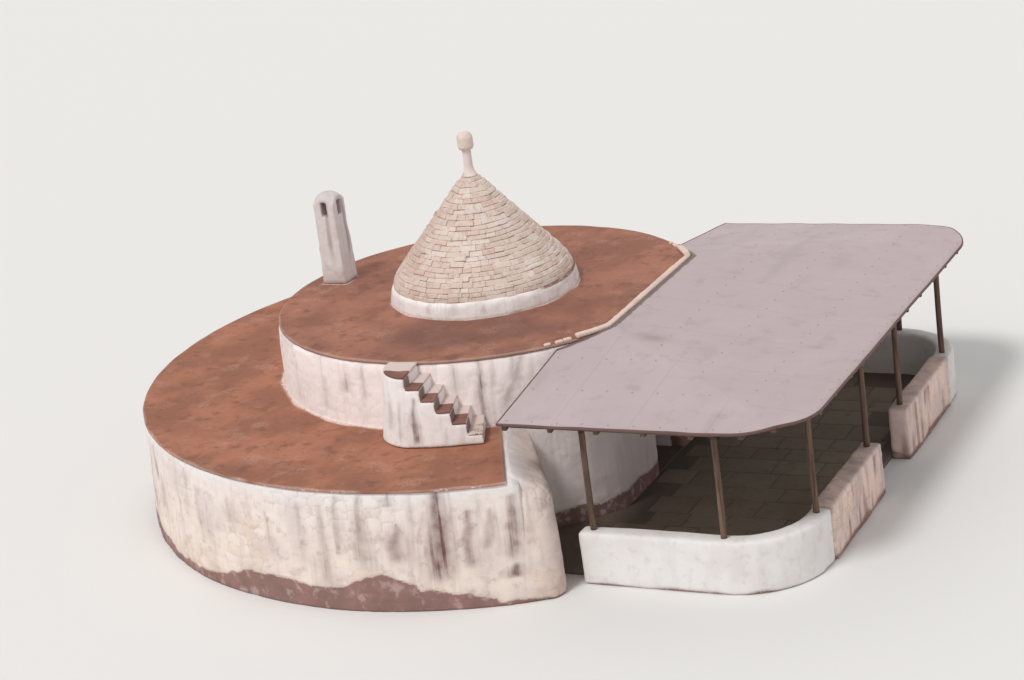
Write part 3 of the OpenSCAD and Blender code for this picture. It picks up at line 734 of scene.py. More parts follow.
# The drum's white is brighter than the tier's as painted light, offsetting the dimmer light it gets above the
# red ledge and under the canopy.
LIMED_DRUM = limewash("limewashed drum wall", (255, 244, 242), 21.0, patch=0.12, runs=0.22, stones=0.1)
OLD_WALL = limewash("older streaked wall", (244, 214, 202), 41.0, patch=0.6, runs=0.7, stones=0.4)
PLASTER = limewash("white plaster", (246, 240, 239), 61.0, patch=0.25, runs=0.25)
OLD_PLASTER = limewash("old pinnacle plaster", (226, 202, 188), 65.0, patch=0.3, runs=0.2)
PARAPET_WHITE = limewash("parapet whitewash", (236, 234, 232), 71.0, patch=0.26, runs=0.12)
CHIMNEY_PLASTER = limewash("chimney plaster", (226, 220, 219), 81.0, patch=0.4, runs=0.45)
TERRACE_COAT = red_coat("terrace coat", (146, 97, 79), 5.0)
LEDGE_COAT = red_coat("ledge coat", (151, 99, 77), 9.0)
# The treads' brown is darkened as painted shade over their real red coat.
SHADED_TREAD_COAT = red_coat("tread coat", (128, 89, 78), 11.0)
CONE_STONE = cone_stone("cone limestone", 13.0)
# The flagstones are darkened as painted shade under the canopy; the room's flags share this colour.
FLAGSTONE = flagstone("flagstone", (146, 132, 116), 17.0)
FLAG_BED = flagstone("flagstone bed", (104, 92, 82), 19.0)
DRESSED = flagstone("dressed stone", (146, 132, 116), 23.0)
CANOPY_TOP = coated_sheet("canopy sheet", (184, 168, 170), 27.0, 0.6)
# The trim's dark brown is partly painted shade along the canopy's edge.
EDGE_TRIM = coated_sheet("canopy edge trim", (104, 78, 76), 28.0, 0.7)
FIXING = coated_sheet("sheet fixing", (170, 155, 156), 30.0, 0.5)
# The underside is dark brown as painted shade.
CANOPY_UNDER_SHADE = coated_sheet("canopy underside", (58, 44, 40), 29.0, 0.75)
# The timber's darkness is partly painted shade under the canopy.
TIMBER = weathered_timber("weathered timber", 31.0, X)
TIMBER_Y = weathered_timber("weathered beams", 33.0, Y)
TIMBER_POST = weathered_timber("weathered posts", 35.0, Z)


# Shapes that the pieces follow

def drum_r(z):
    return DRUM_FOOT_R + (DRUM_TOP_R - DRUM_FOOT_R) * z / TERRACE_Z


def tier_r(z):
    return TIER_FOOT_R + (TIER_TOP_R - TIER_FOOT_R) * z / LEDGE_Z


def cone_face(h):
    """Radius of the cone: a steep foot that bends round into the slope."""
    steep = CONE_R - STEEP_IN * h / STEEP_H
    slope = CONE_TOP_R + (CONE_R - STEEP_IN - CONE_TOP_R) * (CONE_H - h) / (CONE_H - STEEP_H)
    return (steep + slope - np.sqrt((steep - slope) ** 2 + CONE_BEND ** 2)) / 2


def polar(angle, r, z):
    return np.stack([r * np.cos(angle), r * np.sin(angle), z + 0 * r], -1)


def rim_r(angle, r):
    """Outer radius of the terrace, cut flat at the entrance face."""
    c = np.cos(angle)
    return np.where(c > 0.3, np.minimum(r, FACADE_X / np.maximum(c, 0.3)), r)


def moved_out(co, amount):
    """Points moved away from the axis of the house."""
    r = around(co)[1]
    co[:, :2] *= ((r + amount) / r)[:, None]
    return co


# The lower tier

# How high the darker band at the tier's foot reaches at the front: degrees round the house, height
FOOT_BAND_HEIGHTS = [(-86, 0.46), (-82.2, 0.48), (-80.5, 0.46), (-78.8, 0.44), (-77.8, 0.40), (-77.2, 0.32),
            (-75.2, 0.30), (-73.5, 0.26), (-72.2, 0.20), (-70, 0.16), (-67.8, 0.10), (-65.5, 0.04),
            (-60, 0.03)]


def tier_dirt(co):
    """A darker band along the tier's foot, highest at the front."""
    degrees = np.degrees(around(co)[0])
    elsewhere = 0.20 + 0.16 * lumps(co * [1, 1, 0], 1.3, 41)
    band = np.interp(degrees, *np.transpose(FOOT_BAND_HEIGHTS))
    far = np.where(degrees > 0, 1.0, ease((-84 - degrees) / 8))
    band += (elsewhere - band) * far + 0.035 * lumps(co * [1, 1, 0.3], 0.35, 42) + 0.03 * lumps(co, 0.13, 43)
    thin = 0.25 * ease((band + 0.22 - co[:, 2]) / 0.25) * ease(0.5 + lumps(co, 0.16, 45))
    return np.clip(ease((band - co[:, 2]) / 0.07 + 0.5) + thin, 0, 1)


def limed_top(co):
    """Newer limewash under the ledge, thinning out down the wall."""
    edge = 0.08 * lumps(co * [1, 1, 0], 0.5, 44)
    return ease((co[:, 2] - 1.42 - edge) / 0.12) * 0.6 + 0.4 * ease((co[:, 2] - 0.75 - 3 * edge) / 0.7)


def tier_rubble(co):
    """The tier's relief, joints and tones, which its wall and its shoulders share."""
    angle, r = around(co)
    along = angle % (2 * math.pi) * TIER_TOP_R - np.sign(co[:, 1]) * np.clip(TIER_FOOT_R - r, 0, 2)
    relief, joint, tone = rubble_under_limewash(co, along, 3, 0.23, 0.14)
    return relief, joint, tone + 0.5 * ease((1.0 - co[:, 2]) / 0.7)


def tier_shell():
    """The tier's wall, tucked in a little under each shoulder."""
    under_coat = LEDGE_Z - COAT_T
    heights = np.concatenate([np.linspace(0, 1.60, 50), [1.625, under_coat]])
    loops = []
    for a in np.radians(np.arange(TIER_END - 1.6, 360 - TIER_END + 1.6, 0.36)):
        from_porch = math.pi - abs(a - math.pi)
        tucked = ease((math.radians(TIER_END - 0.2) - from_porch) / math.radians(1.2))
        r = tier_r(heights) - 0.018 - 0.025 * tucked
        outer = polar(a, r, heights - 0.05 * tucked * heights / LEDGE_Z)
        inner = polar(a, np.full(2, DRUM_FOOT_R - 0.03), np.array([under_coat - 0.05 * tucked, 0.0]))
        loops.append(np.concatenate([outer, inner]))
    return swept("tier_wall", loops)


def build_tier():
    wall = tier_shell()
    co = points_of(wall)
    face = around(co)[1] > 4.5
    relief, joint, tone = tier_rubble(co)
    out = (np.minimum(relief, 0.017) - 0.016 * ease((co[:, 2] - 1.60) / 0.04)) * face
    co = moved_out(co, out)
    set_points(wall, co)
    runs = TIER_RUNS + more_runs(5, TIER_END, 360 - 92, 1.6, 0.3, 7.0)
    mark(wall, joint=joint * face, tone=tone * face, stain=run_marks(co, runs, 31) * face,
         dirt=tier_dirt(co) * face, lime=limed_top(co) * face)
    dress(wall, LIMED_RUBBLE, ["tier_" + s for s in SIDES])

    for side, sign, seed in (("front", 1, 51), ("back", -1, 52)):
        end = worn_copy("tier_shoulder_" + side, ["tier_end_" + side], 0.03, 4)
        co = points_of(end)
        angle, r = around(co)
        relief, joint, tone = tier_rubble(co)
        raise_by(end, relief - 0.015)
        own_runs = [(sign * a, sign * b, *rest) for a, b, *rest in SHOULDER_RUNS]
        past_end = TIER_END - np.abs(np.degrees(angle))
        # Painted shade: film darkens the shoulder as if the canopy shaded it, with a little dirt, and deepens
        # inward towards the drum.
        canopy_shade = ease((4.75 - r + 0.15 * lumps(co, 0.3, seed + 8)) / 0.5)
        film = 0.24 * ease(past_end / 4 + 0.4 * lumps(co, 0.3, seed + 9)) + 0.3 * canopy_shade
        mark(end, joint=joint, tone=tone, lime=limed_top(co) * ease(1.3 - past_end / 3),
             stain=np.maximum(run_marks(co, own_runs, seed), run_marks(co, runs, 31)),
             dirt=np.clip(np.minimum(film, 0.30) + tier_dirt(co), 0, 1))
        dress(end, LIMED_RUBBLE, ["tier_end_" + side])


def coat_ring(name, degrees, runs_of_radii, top_z, seed, closed, rim=None):
    """A coat over a round or part-round floor: each run has its first and last radius and their number."""
    radii = np.concatenate([np.linspace(*run) for run in runs_of_radii])
    loops = []
    for a in np.radians(degrees):
        outer = float(rim(a, radii[-1])) if rim else radii[-1]
        top = polar(a, radii[0] + (outer - radii[0]) * (radii - radii[0]) / (radii[-1] - radii[0]), top_z)
        top[-1, 2] -= 0.001
        top[-1, :2] *= (outer - 0.010) / outer
        edge = polar(a, np.full(2, outer), np.array([top_z - 0.014, top_z - COAT_T]))
        loops.append(np.concatenate([top, edge, polar(a, radii[:1], top_z - COAT_T)]))
    coat = swept(name, loops, closed)
    co = points_of(coat)
    lift = np.where(co[:, 2] > top_z - 0.02, 1.0, 0.0)
    co[:, 2] += lift * (0.004 * lumps(co, 0.7, seed) + 0.0025 * lumps(co, 0.18, seed + 1) - 0.004)
    near_rim = around(co)[1] > radii[-1] * 0.9
    set_points(coat, moved_out(co, np.where(near_rim, 0.006 * (lumps(co, 0.25, seed + 2) - 1), 0.0)))
    return coat


def build_ledge():
    coat = coat_ring("ledge_coat", np.arange(TIER_END, 360 - TIER_END + 0.01, 0.6),
                     [(3.02, 3.30, 12), (3.36, 5.04, 26), (5.08, TIER_TOP_R, 6)], LEDGE_Z, 61, closed=False)
    co = points_of(coat)
    angle, r = around(co)
    degrees = np.abs(np.degrees(angle))
    splash = drum_r(LEDGE_Z) + 0.05 + 0.05 * lumps(co, 0.3, 62)
    end = (np.abs(degrees - TIER_END) < 0.7 + 0.5 * lumps(co, 0.3, 63)) & (degrees < 90)
    rim = ease((r - (TIER_TOP_R - 0.03 - 0.03 * lumps(co, 0.2, 66))) / 0.03)
    mark(coat, lime=np.clip(0.7 * ease((splash - r) / 0.04 + 0.5) + 0.3 * end + 0.4 * rim, 0, 1),
         stain=0.45 * ease(lumps(co, 0.5, 64) * 1.5 - 0.4) * ease((r - 4.4) / 0.8))
    dress(coat, LEDGE_COAT, ["ledge_floor"])


# The drum, its entrance and the terrace

def build_drum():
    names = [part + s for part in ("room_wall_", "vault_") for s in SIDES]
    names += ["entrance_wall_front", "entrance_wall_back", "entrance_wall_top"]
    wall = worn_copy("drum_wall", names, 0.044, 3)
    co = points_of(wall)
    angle, r = around(co)
    x, y, z = co.T
    along = np.where(x > FACADE_X - 0.03, y, angle * DRUM_MIDDLE_R)
    relief, joint, tone = rubble_under_limewash(co, along, 71, 0.24, 0.14)
    upright = 1 - np.abs(normals_of(wall)[:, 2])
    raise_by(wall, upright * (0.8 * relief - 0.002))
    outside = r > 2.5
    runs = DRUM_RUNS + more_runs(8, 64, 360 - 86, 2.6, 1.75, 9.0) + more_runs(9, 34, 60, 2.6, 1.2, 8.0)
    under_rim = 0.25 * ease((z - (2.54 - 0.05 * lumps(co * [1, 1, 0], 0.25, 75))) / 0.06)
    foot = 0.9 * ease((0.30 + 0.1 * lumps(co, 0.4, 76) - z) / 0.12 + 0.3)
    # The drum wall under the canopy is darker: partly dust, partly painted shade.
    dust_and_canopy_shade = ease((x - 2.0) / 0.3) * ease((2.35 - z) / 0.2) * (0.22 + 0.08 * lumps(co, 0.5, 79))
    mark(wall, joint=joint * upright, tone=tone * upright, stain=run_marks(co, runs, 74) * outside,
         dirt=np.clip((np.maximum(under_rim, dust_and_canopy_shade) + foot) * outside, 0, 1))
    dress(wall, LIMED_DRUM, names)

    lintel = worn_copy("door_lintel_stone", ["door_lintel"], 0.014, 4)
    co = points_of(lintel)
    raise_by(lintel, 0.003 * uneven(co, 0.12, 77) + 0.004)
    mark(lintel, tone=0.5 + 0.3 * lumps(co, 0.5, 78))
    dress(lintel, DRESSED, ["door_lintel"])


def build_terrace():
    coat = coat_ring("terrace_coat", np.arange(0, 360, 0.9),
                     [(1.30, 1.48, 10), (1.54, 2.90, 22), (2.94, DRUM_TOP_R, 6)], TERRACE_Z, 81, True, rim_r)
    co = points_of(coat)
    angle, r = around(co)
    degrees = np.degrees(angle)
    rim = rim_r(angle, DRUM_TOP_R)
    foot = CONE_R + 0.035 + 0.022 * lumps(co, 0.2, 82)
    edge = 0.25 * ease((r - (rim - 0.035 - 0.02 * lumps(co, 0.15, 83))) / 0.02)
    from_chimney = (np.maximum(abs(co[:, 0] - CHIMNEY_X), abs(co[:, 1] - CHIMNEY_Y)) - CHIMNEY_W / 2
                    - 0.02 - 0.02 * lumps(co, 0.15, 84))
    limed = 0.8 * ease((foot - r) / 0.03 + 0.5) + edge + 0.7 * ease(-from_chimney / 0.03 + 0.5)
    # Darker blotches in a band inside the rim on the entrance side.
    blotch = ease(lumps(co, 0.22, 85) * 1.6 - 0.5) * ease((r - (rim - 0.30)) / 0.12) * (np.cos(angle) > 0.2)
    bands = ease(0.5 + 0.9 * lumps(np.c_[r, angle * 0.6, r * 0], 0.22, 90))
    # A darker area on the terrace in front of the cone.
    darker_before_cone = (ease((degrees + 112) / 14) * ease((-34 - degrees) / 14)
            * ease((2.75 - r + 0.25 * lumps(co, 0.35, 92)) / 0.45) * (0.46 + 0.10 * lumps(co, 0.25, 93)))
    stain = 0.6 * blotch + 0.2 * ease(lumps(co, 0.6, 86) * 1.4 - 0.5) + 0.16 * bands + darker_before_cone
    mark(coat, lime=np.clip(limed, 0, 1), stain=np.clip(stain, 0, 0.75))
    dress(coat, TERRACE_COAT, ["terrace_floor"])
    build_kerb()


# What is left of the broken kerb: first and last degree, height
KERB_REMAINS = [(-46.0, -43.8, 0.028), (-43.7, -41.4, 0.035), (-49.0, -47.2, 0.022), (42.2, 44.6, 0.03),
                (46.0, 47.0, 0.022)]


def build_kerb():
    kerb = worn_copy("terrace_kerb_plaster", ["terrace_kerb"], 0.013, 5)
    co = points_of(kerb)
    angle, r = around(co)
    raise_by(kerb, 0.006 * lumps(co, 0.3, 87) + 0.003 * lumps(co, 0.08, 88) + 0.002)
    # Darker along the foot of the kerb's inner face.
    inner = ease((rim_r(angle, DRUM_TOP_R) - 0.060 - r) / 0.02)
    joint = 0.7 * ease((TERRACE_Z + 0.035 - co[:, 2]) / 0.02) * inner
    mark(kerb, dirt=np.clip(joint + 0.25 * ease(lumps(co, 0.3, 89)), 0, 1))
    dress(kerb, OLD_PLASTER, ["terrace_kerb"])

    bits = [[polar(math.radians(last if y else first), DRUM_TOP_R - (0.012 if x else 0.075),
                   TERRACE_Z + (high if z else -0.012)) for x, y, z in CORNERS]
            for first, last, high in KERB_REMAINS]
    remains = laid_blocks("kerb_remains", bits, 0.012, 91, 0.004)
    dress(remains, OLD_PLASTER)


# Stones laid one by one

def block_faces():
    """How the 24 points of a block with worn edges join: faces, edges and corners."""
    sides = []
    for axis in range(3):
        for value in (0, 1):
            u, v = [a for a in range(3) if a != axis]
            ring = []
            for a, b in ((0, 0), (1, 0), (1, 1), (0, 1)):
                c = [0, 0, 0]
                c[axis], c[u], c[v] = value, a, b
                ring.append(CORNERS.index(tuple(c)))
            sides.append(ring)
    number = {(s, c): 4 * s + k for s, ring in enumerate(sides) for k, c in enumerate(ring)}
    faces = [[number[s, c] for c in ring] for s, ring in enumerate(sides)]
    for s in range(6):
        for t in range(s + 1, 6):
            shared = [c for c in sides[s] if c in sides[t]]
            if shared:
                a, b = shared
                faces.append([number[s, a], number[s, b], number[t, b], number[t, a]])
    faces += [[number[s, c] for s in range(6) if c in sides[s]] for c in range(8)]
    corners = np.array(CORNERS, float)
    at = np.array([corners[c] + 0.1 * (corners[ring[k - 3]] + corners[ring[k - 1]] - 2 * corners[c])
                   for ring in sides for k, c in enumerate(ring)])
    turned = []
    for face in faces:
        a, b, c = at[face[:3]]
        outwards = np.cross(b - a, c - a) @ (at[face].mean(0) - 0.5)
        turned.append(face if outwards > 0 else face[::-1])
    return sides, turned


BLOCK_SIDES, BLOCK_FACES = block_faces()
BLOCK_POINTS = 24


def unit(line):
    return line / np.maximum(np.linalg.norm(line, axis=1), 1e-6)[:, None]


def laid_blocks(name, corners, worn, seed, rough):
    """Blocks from their eight corners each, with worn edges and uneven faces."""
    corners = np.asarray(corners, float)
    count = len(corners)
    verts = np.zeros((count, BLOCK_POINTS, 3))
    for s, ring in enumerate(BLOCK_SIDES):
        for k, c in enumerate(ring):
            here, after, before = corners[:, c], corners[:, ring[k - 3]], corners[:, ring[k - 1]]
            verts[:, 4 * s + k] = here + worn * (unit(after - here) + unit(before - here))
    flat = verts.reshape(-1, 3)
    flat = flat + rough * np.stack([lumps(flat, 0.06, seed + i) for i in range(3)], -1)
    faces = [[f + BLOCK_POINTS * i for f in face] for i in range(count) for face in BLOCK_FACES]
    piece = mesh_piece(name, kept_in_box(flat), faces, smooth=False)
    mark(piece, tone=np.repeat(np.random.RandomState(seed).rand(count), BLOCK_POINTS))
    return piece


def course_heights():
    """Heights of the courses' beds above the terrace, a little uneven."""
    draw = np.random.RandomState(100)
    thick = 0.85 + 0.3 * draw.rand(CONE_COURSES)
    return CONE_FOOT_H + (CONE_H - CONE_FOOT_H) * np.concatenate([[0], np.cumsum(thick)]) / thick.sum()


def cone_stones(low, high, seed):
    """Flat stones laid in rings, each course set back a little from the one below."""
    draw = np.random.RandomState(seed)
    beds = course_heights()
    usual_width = 0.21
    corners = []
    for h0, h1 in zip(beds[low:high], beds[low + 1:high + 1]):
        r0, r1 = float(cone_face(h0)), float(cone_face(h1))
        angle = 2 * math.pi * draw.rand()
        widths = 0.5 + draw.rand(max(6, round(2 * math.pi * r0 / usual_width)))
        widths *= 2 * math.pi / widths.sum()
        for width in widths:
            proud = -0.006 + 0.012 * draw.rand()
            gap = 0.001 / max(r0, 0.2)
            a0, a1 = angle + gap, angle + width - gap
            angle += width
            tilt = 0.008 * (draw.rand() - 0.5)
            middle = np.array([[2 * math.cos(a0 + a1), 2 * math.sin(a0 + a1), 0]])
            wave = [0.010 * float(lumps(middle + [0, 0, h], 0.7, 99)[0]) for h in (h0, h1)]
            bottom = TERRACE_Z + h0 + wave[0] + 0.002 * draw.rand()
            top = TERRACE_Z + h1 + wave[1] - 0.006 * draw.rand() ** 2
            lean = 0.65 + 0.3 * draw.rand()
            bow = math.cos((a1 - a0) / 2) ** 0.5
            front = [(r0 + proud) / bow, (r0 + proud - lean * (r0 - r1)) / bow]
            back = max(r1 - 0.07, 0.02)
            corners.append([polar(a1 if y else a0, front[z] if x else back,
                                  (top if z else bottom) + (tilt if y else -tilt)) for x, y, z in CORNERS])
    return corners


def cone_body():
    """The cone's body behind its face stones, hollow over the vault."""
    h = np.linspace(CONE_FOOT_H - 0.03, CONE_H, 30)
    outer = np.c_[cone_face(h) - 0.020 - 0.010 * (h > 1.4), TERRACE_Z + h]
    z = np.linspace(VAULT_Z - 0.02, TERRACE_Z + CONE_FOOT_H - 0.03, 20)
    inner = np.c_[ROOM_R * (1 - (z - SPRING_Z) / (VAULT_Z - SPRING_Z)) ** 0.85, z]
    profile = np.concatenate([outer, [[inner[0, 0], TERRACE_Z + CONE_H]], inner])
    return swept("cone_body", [polar(a, *profile.T) for a in np.radians(np.arange(0, 360, 4))], closed=True)


def build_cone():
    half = CONE_COURSES // 2
    for half_name, low, high, seed in (("lower", 0, half, 101), ("upper", half, CONE_COURSES, 102)):
        stones = laid_blocks("cone_stones_" + half_name, cone_stones(low, high, seed), 0.008, seed, 0.005)
        co = points_of(stones)
        # Painted shade: the face stones are darkened on one side of the cone, centred at -152 degrees.
        from_front = (np.degrees(around(co)[0]) + 332) % 360 - 180
        mark(stones, dirt=np.exp(-(from_front / 50) ** 2) * (0.22 + 0.12 * lumps(co, 0.25, seed + 5)))
        dress(stones, CONE_STONE, [f"cone_{half_name}_courses"])
    body = cone_body()
    mark(body, tone=0.1, dirt=0.35)
    dress(body, CONE_STONE)

    foot = worn_copy("cone_foot_plaster", ["cone_foot"], 0.02, 5)
    co = points_of(foot)
    angle, r = around(co)
    degrees, up, outside = np.degrees(angle), co[:, 2] - TERRACE_Z, r > 1.2
    brim = 0.010 * ease((up - 0.16) / 0.08) * lumps(co * [1, 1, 0], 0.22, 105)
    raise_by(foot, outside * (0.008 * lumps(co, 0.35, 103) + 0.004 * lumps(co, 0.1, 104) + 0.004 + brim))
    # Painted shade: a dark line along the top of the plaster foot on its right and back side, where the
    # stones above cast shade.
    shade_line_under_stones = ease((degrees + 36) / 20) * ease((80 - degrees) / 20) * ease((up - 0.185) / 0.02)
    mark(foot, dirt=0.9 * shade_line_under_stones * outside,
         stain=run_marks(co, more_runs(12, -180, 180, 2.9, 2.66, 14.0), 106) * 0.5)
    dress(foot, PLASTER, ["cone_foot"])

    for name, node, seed, limed in (("pinnacle_plaster", "pinnacle_neck", 107, 0.65),
                                    ("finial_plaster", "finial", 109, 0.3)):
        piece = worn_copy(name, [node], 0.009, 3)
        co = points_of(piece)
        raise_by(piece, 0.003 * lumps(co, 0.09, seed) + 0.0015 * lumps(co, 0.03, seed + 1) + 0.002)
        mark(piece, dirt=0.4 * ease(lumps(co, 0.08, seed + 2) * 1.5 - 0.3), lime=limed)
        dress(piece, OLD_PLASTER, [node])


def build_chimney():
    names = ["chimney_shaft", "chimney_head", "chimney_cap"]
    stack = worn_copy("chimney_stack", names, 0.0135, 7)
    co = points_of(stack)
    raise_by(stack, 0.007 * lumps(co, 0.22, 111) + 0.003 * lumps(co, 0.07, 112) + 0.003)
    east, north, up = (co - [CHIMNEY_X, CHIMNEY_Y, TERRACE_Z]).T
    up /= CHIMNEY_H
    across = np.where(abs(east) > abs(north), north, east)
    # Around the slots near the top the darkening is partly soot, partly painted shade of the openings.
    soot_and_slot_shade = ease((0.065 - abs(across)) / 0.03) * ease((up - 0.74) / 0.02) * ease((0.925 - up) / 0.02)
    streak = ease((0.055 - abs(across + 0.05 * lumps(co, 0.3, 113) - 0.05)) / 0.04) * ease((up - 0.15) / 0.3)
    cap = 0.24 * ease((up - 0.90) / 0.05) * (1 + 0.5 * lumps(co, 0.12, 114))
    # Painted light: the lime mark lightens the chimney's +X face.
    mark(stack, stain=np.clip(0.55 * soot_and_slot_shade + 0.45 * streak * (up < 0.9) + cap, 0, 1),
         lime=0.9 * ease((east - abs(north)) / 0.03), dirt=0.4 * ease((0.06 - up) / 0.04))
    dress(stack, CHIMNEY_PLASTER, names)


# The outside stair

def build_stair():
    base = worn_copy("stair_flank", ["stair_base"], 0.019, 4)
    co = points_of(base)
    angle, r = around(co)
    degrees, z = np.degrees(angle), co[:, 2]
    n = normals_of(base)
    turning = abs(-np.sin(angle) * n[:, 0] + np.cos(angle) * n[:, 1])
    raise_by(base, (r > 3.45) * (0.008 * lumps(co, 0.4, 121) + 0.004 * lumps(co, 0.12, 122)))
    margin = STAIR_MARGIN_R + 0.03 * lumps(co, 0.15, 123)
    # A dark coat on the risers; its darkness is partly painted shade.
    riser_coat_and_shade = ease((turning - 0.6) / 0.2) * ease((r - margin) / 0.04) * (degrees > -STAIR_END)
    lowest = degrees > -STAIR_START - 0.9
    mark(base, coat=riser_coat_and_shade * (z > LEDGE_Z + 0.02) * (0.85 - 0.45 * lowest),
         stain=run_marks(co, STAIR_RUNS, 124) * (r > 3.5),
         dirt=0.3 * ease((LEDGE_Z + 0.05 + 0.03 * lumps(co, 0.2, 125) - z) / 0.04))
    dress(base, PLASTER, ["stair_base"])

    treads = worn_copy("stair_tread_coats", ["stair_treads"], 0.0115, 3)
    co = points_of(treads)
    angle, r = around(co)
    raise_by(treads, 0.0025 * lumps(co, 0.15, 126) + 0.0012)
    margin = STAIR_MARGIN_R + 0.035 * lumps(co, 0.16, 127)
    lowest = np.degrees(angle) > -STAIR_START - TREAD_ANGLE - 0.1
    scuffed = lowest * (0.62 + 0.2 * lumps(co, 0.12, 129))
    mark(treads, lime=np.maximum(ease((margin - r) / 0.03 + 0.5), scuffed),
         # Painted shade: the treads are darkened all over, more in places.
         stain=0.35 + 0.3 * lumps(co, 0.2, 128))
    dress(treads, SHADED_TREAD_COAT, ["stair_treads"])


# The porch

def build_parapets():
    for name, seed in (("parapet_front", 131), ("parapet_back", 132)):
        wall = worn_copy(name + "_plaster", [name], 0.03, 6)
        co = points_of(wall)
        raise_by(wall, 0.010 * lumps(co, 0.8, seed) + 0.004 * lumps(co, 0.2, seed + 5) + 0.002)
        mark(wall, dirt=0.7 * ease((0.04 + 0.04 * lumps(co, 0.3, seed + 6) - co[:, 2]) / 0.06 + 0.2))
        dress(wall, PARAPET_WHITE, [name])
    for name, seed in (("parapet_side_front", 133), ("parapet_side_back", 134)):
        wall = worn_copy(name + "_rubble", [name], 0.028, 4)
        co = points_of(wall)
        x, y, z = co.T
        relief, joint, tone = rubble_under_limewash(co, y + x * 0.5, seed, 0.22, 0.13)
        raise_by(wall, relief - 0.004)
        streak = ease(lumps(co * [1, 1, 0.12], 0.11, seed + 7) * 1.8 - 0.2)
        top = ease((z - PARAPET_TOP - OLD_WALL_STEP + 0.06) / 0.04)
        mark(wall, joint=joint, tone=tone, stain=0.65 * streak * (1 - 0.8 * top),
             dirt=0.8 * ease((0.10 + 0.06 * lumps(co, 0.3, seed + 8) - z) / 0.08 + 0.3))
        dress(wall, OLD_WALL, [name])


def laid_flags(name, keep, low, high, top, seed):
    """Flagstones in rows of one width, kept where they fit the floor."""
    draw = np.random.RandomState(seed)
    joint = 0.007
    corners, y = [], low[1]
    while y < high[1]:
        deep = 0.38 + 0.22 * draw.rand()
        x = low[0] - 0.5 * draw.rand()
        while x < high[0]:
            long = 0.4 + 0.45 * draw.rand()
            xs, ys = (x + joint, x + long - joint), (y + joint, y + deep - joint)
            x += long
            if all(keep(px, py) for px in xs for py in ys):
                zs = (top - 0.02, top + 0.006 + 0.004 * (draw.rand() - 0.5))
                corners.append([[xs[cx], ys[cy], zs[cz]] for cx, cy, cz in CORNERS])
        y += deep
    dress(laid_blocks(name, corners, 0.006, seed, 0.0025), FLAGSTONE)


def on_porch(x, y):
    beyond_drum = x > FACADE_X + 0.02 if abs(y) < FACADE_HALF else math.hypot(x, y) > DRUM_FOOT_R + 0.03
    between_ends = abs(math.degrees(math.atan2(y, x))) < SHOULDER_END - 0.4
    from_corner = math.hypot(max(x - CORNER_X, 0), max(abs(y) - CORNER_Y, 0))
    in_corner = from_corner < PORCH_IN_X - CORNER_X - 0.01
    return beyond_drum and between_ends and x < PORCH_IN_X and abs(y) < PORCH_IN_Y and in_corner


def in_room(x, y):
    return math.hypot(x, y) < ROOM_R - 0.03 or (0 < x < FACADE_X - 0.02 and abs(y) < DOOR_HALF - 0.01)


def build_floors():
    for node in ("porch_floor", "room_floor"):
        finished_in(cad[node], FLAG_BED)
    laid_flags("porch_flags", on_porch, (2.0, -3.8), (5.8, 3.8), PORCH_FLOOR_Z, 141)
    laid_flags("room_flags", in_room, (-1.9, -1.9), (2.7, 1.9), ROOM_FLOOR_Z, 142)


# The canopy

def canopy_outline():
    """Plan of the sheet: its outer edge from the drum round to the drum, then its edge along the drum."""
    by_drum, by_face = DRUM_TOP_R + 0.014, FACADE_X + 0.0125
    corner = math.sqrt(by_drum ** 2 - by_face ** 2)
    meet = math.acos(CANOPY_START_X / by_drum)
    turn = np.radians(np.arange(-90, 0.1, 5))
    half = [(CANOPY_START_X, -y) for y in np.arange(by_drum * math.sin(meet), CANOPY_Y - 0.05, 0.1)]
    half += [(x, -CANOPY_Y) for x in np.arange(CANOPY_START_X, CANOPY_X - CANOPY_CORNER, 0.1)]
    half += [(CANOPY_X - CANOPY_CORNER * (1 - math.cos(a)), -CANOPY_Y + CANOPY_CORNER * (1 + math.sin(a)))
             for a in turn]
    half += [(CANOPY_X, y) for y in np.arange(-CANOPY_Y + CANOPY_CORNER + 0.1, -0.04, 0.1)]
    outer = half + [(CANOPY_X, 0.0)] + [(x, -y) for x, y in half[::-1]]
    inner = [(by_drum * math.cos(a), by_drum * math.sin(a))
             for a in np.linspace(meet, math.atan2(corner, by_face), 12)][1:]
    face = [(by_face, y) for y in np.arange(corner - 0.1, -corner + 0.02, -0.1)]
    return np.array(outer), np.array(inner + face + [(x, -y) for x, y in inner[::-1]])


def moved_in(line, amount):
    """An open line in plan, moved to its left by an amount."""
    step = np.diff(line, axis=0)
    side = np.c_[-step[:, 1], step[:, 0]] / np.hypot(*step.T)[:, None]
    both = np.concatenate([side[:1], side]) + np.concatenate([side, side[-1:]])
    return line + amount * both * (2 / (both * both).sum(1))[:, None]


def canopy_top(x, y):
    """Height of the canopy's three planes at a place."""
    corner = math.sqrt((DRUM_TOP_R + 0.0015) ** 2 - FACADE_X ** 2)
    fall = CANOPY_RIDGE - CANOPY_EAVE
    front = CANOPY_EAVE + (CANOPY_Y - np.abs(y)) * fall / (CANOPY_Y - corner)
    side = CANOPY_EAVE + (CANOPY_X - x) * fall / (CANOPY_X - FACADE_X)
    return np.minimum(front, side)


def sheet_height(plan):
    """Height of the sheet's upper face, which is a little loose and sags in shallow waves."""
    top = canopy_top(*plan.T)
    at = np.c_[plan, top]
    loose = 0.006 * lumps(at, 0.9, 151) + 0.003 * lumps(at, 0.3, 152)
    wave_start, wave_long = 1.99, 0.64
    sag = -0.005 * (0.5 - 0.5 * np.cos(2 * np.pi * (plan[:, 0] - wave_start) / wave_long))
    return top - 0.006 + loose + sag


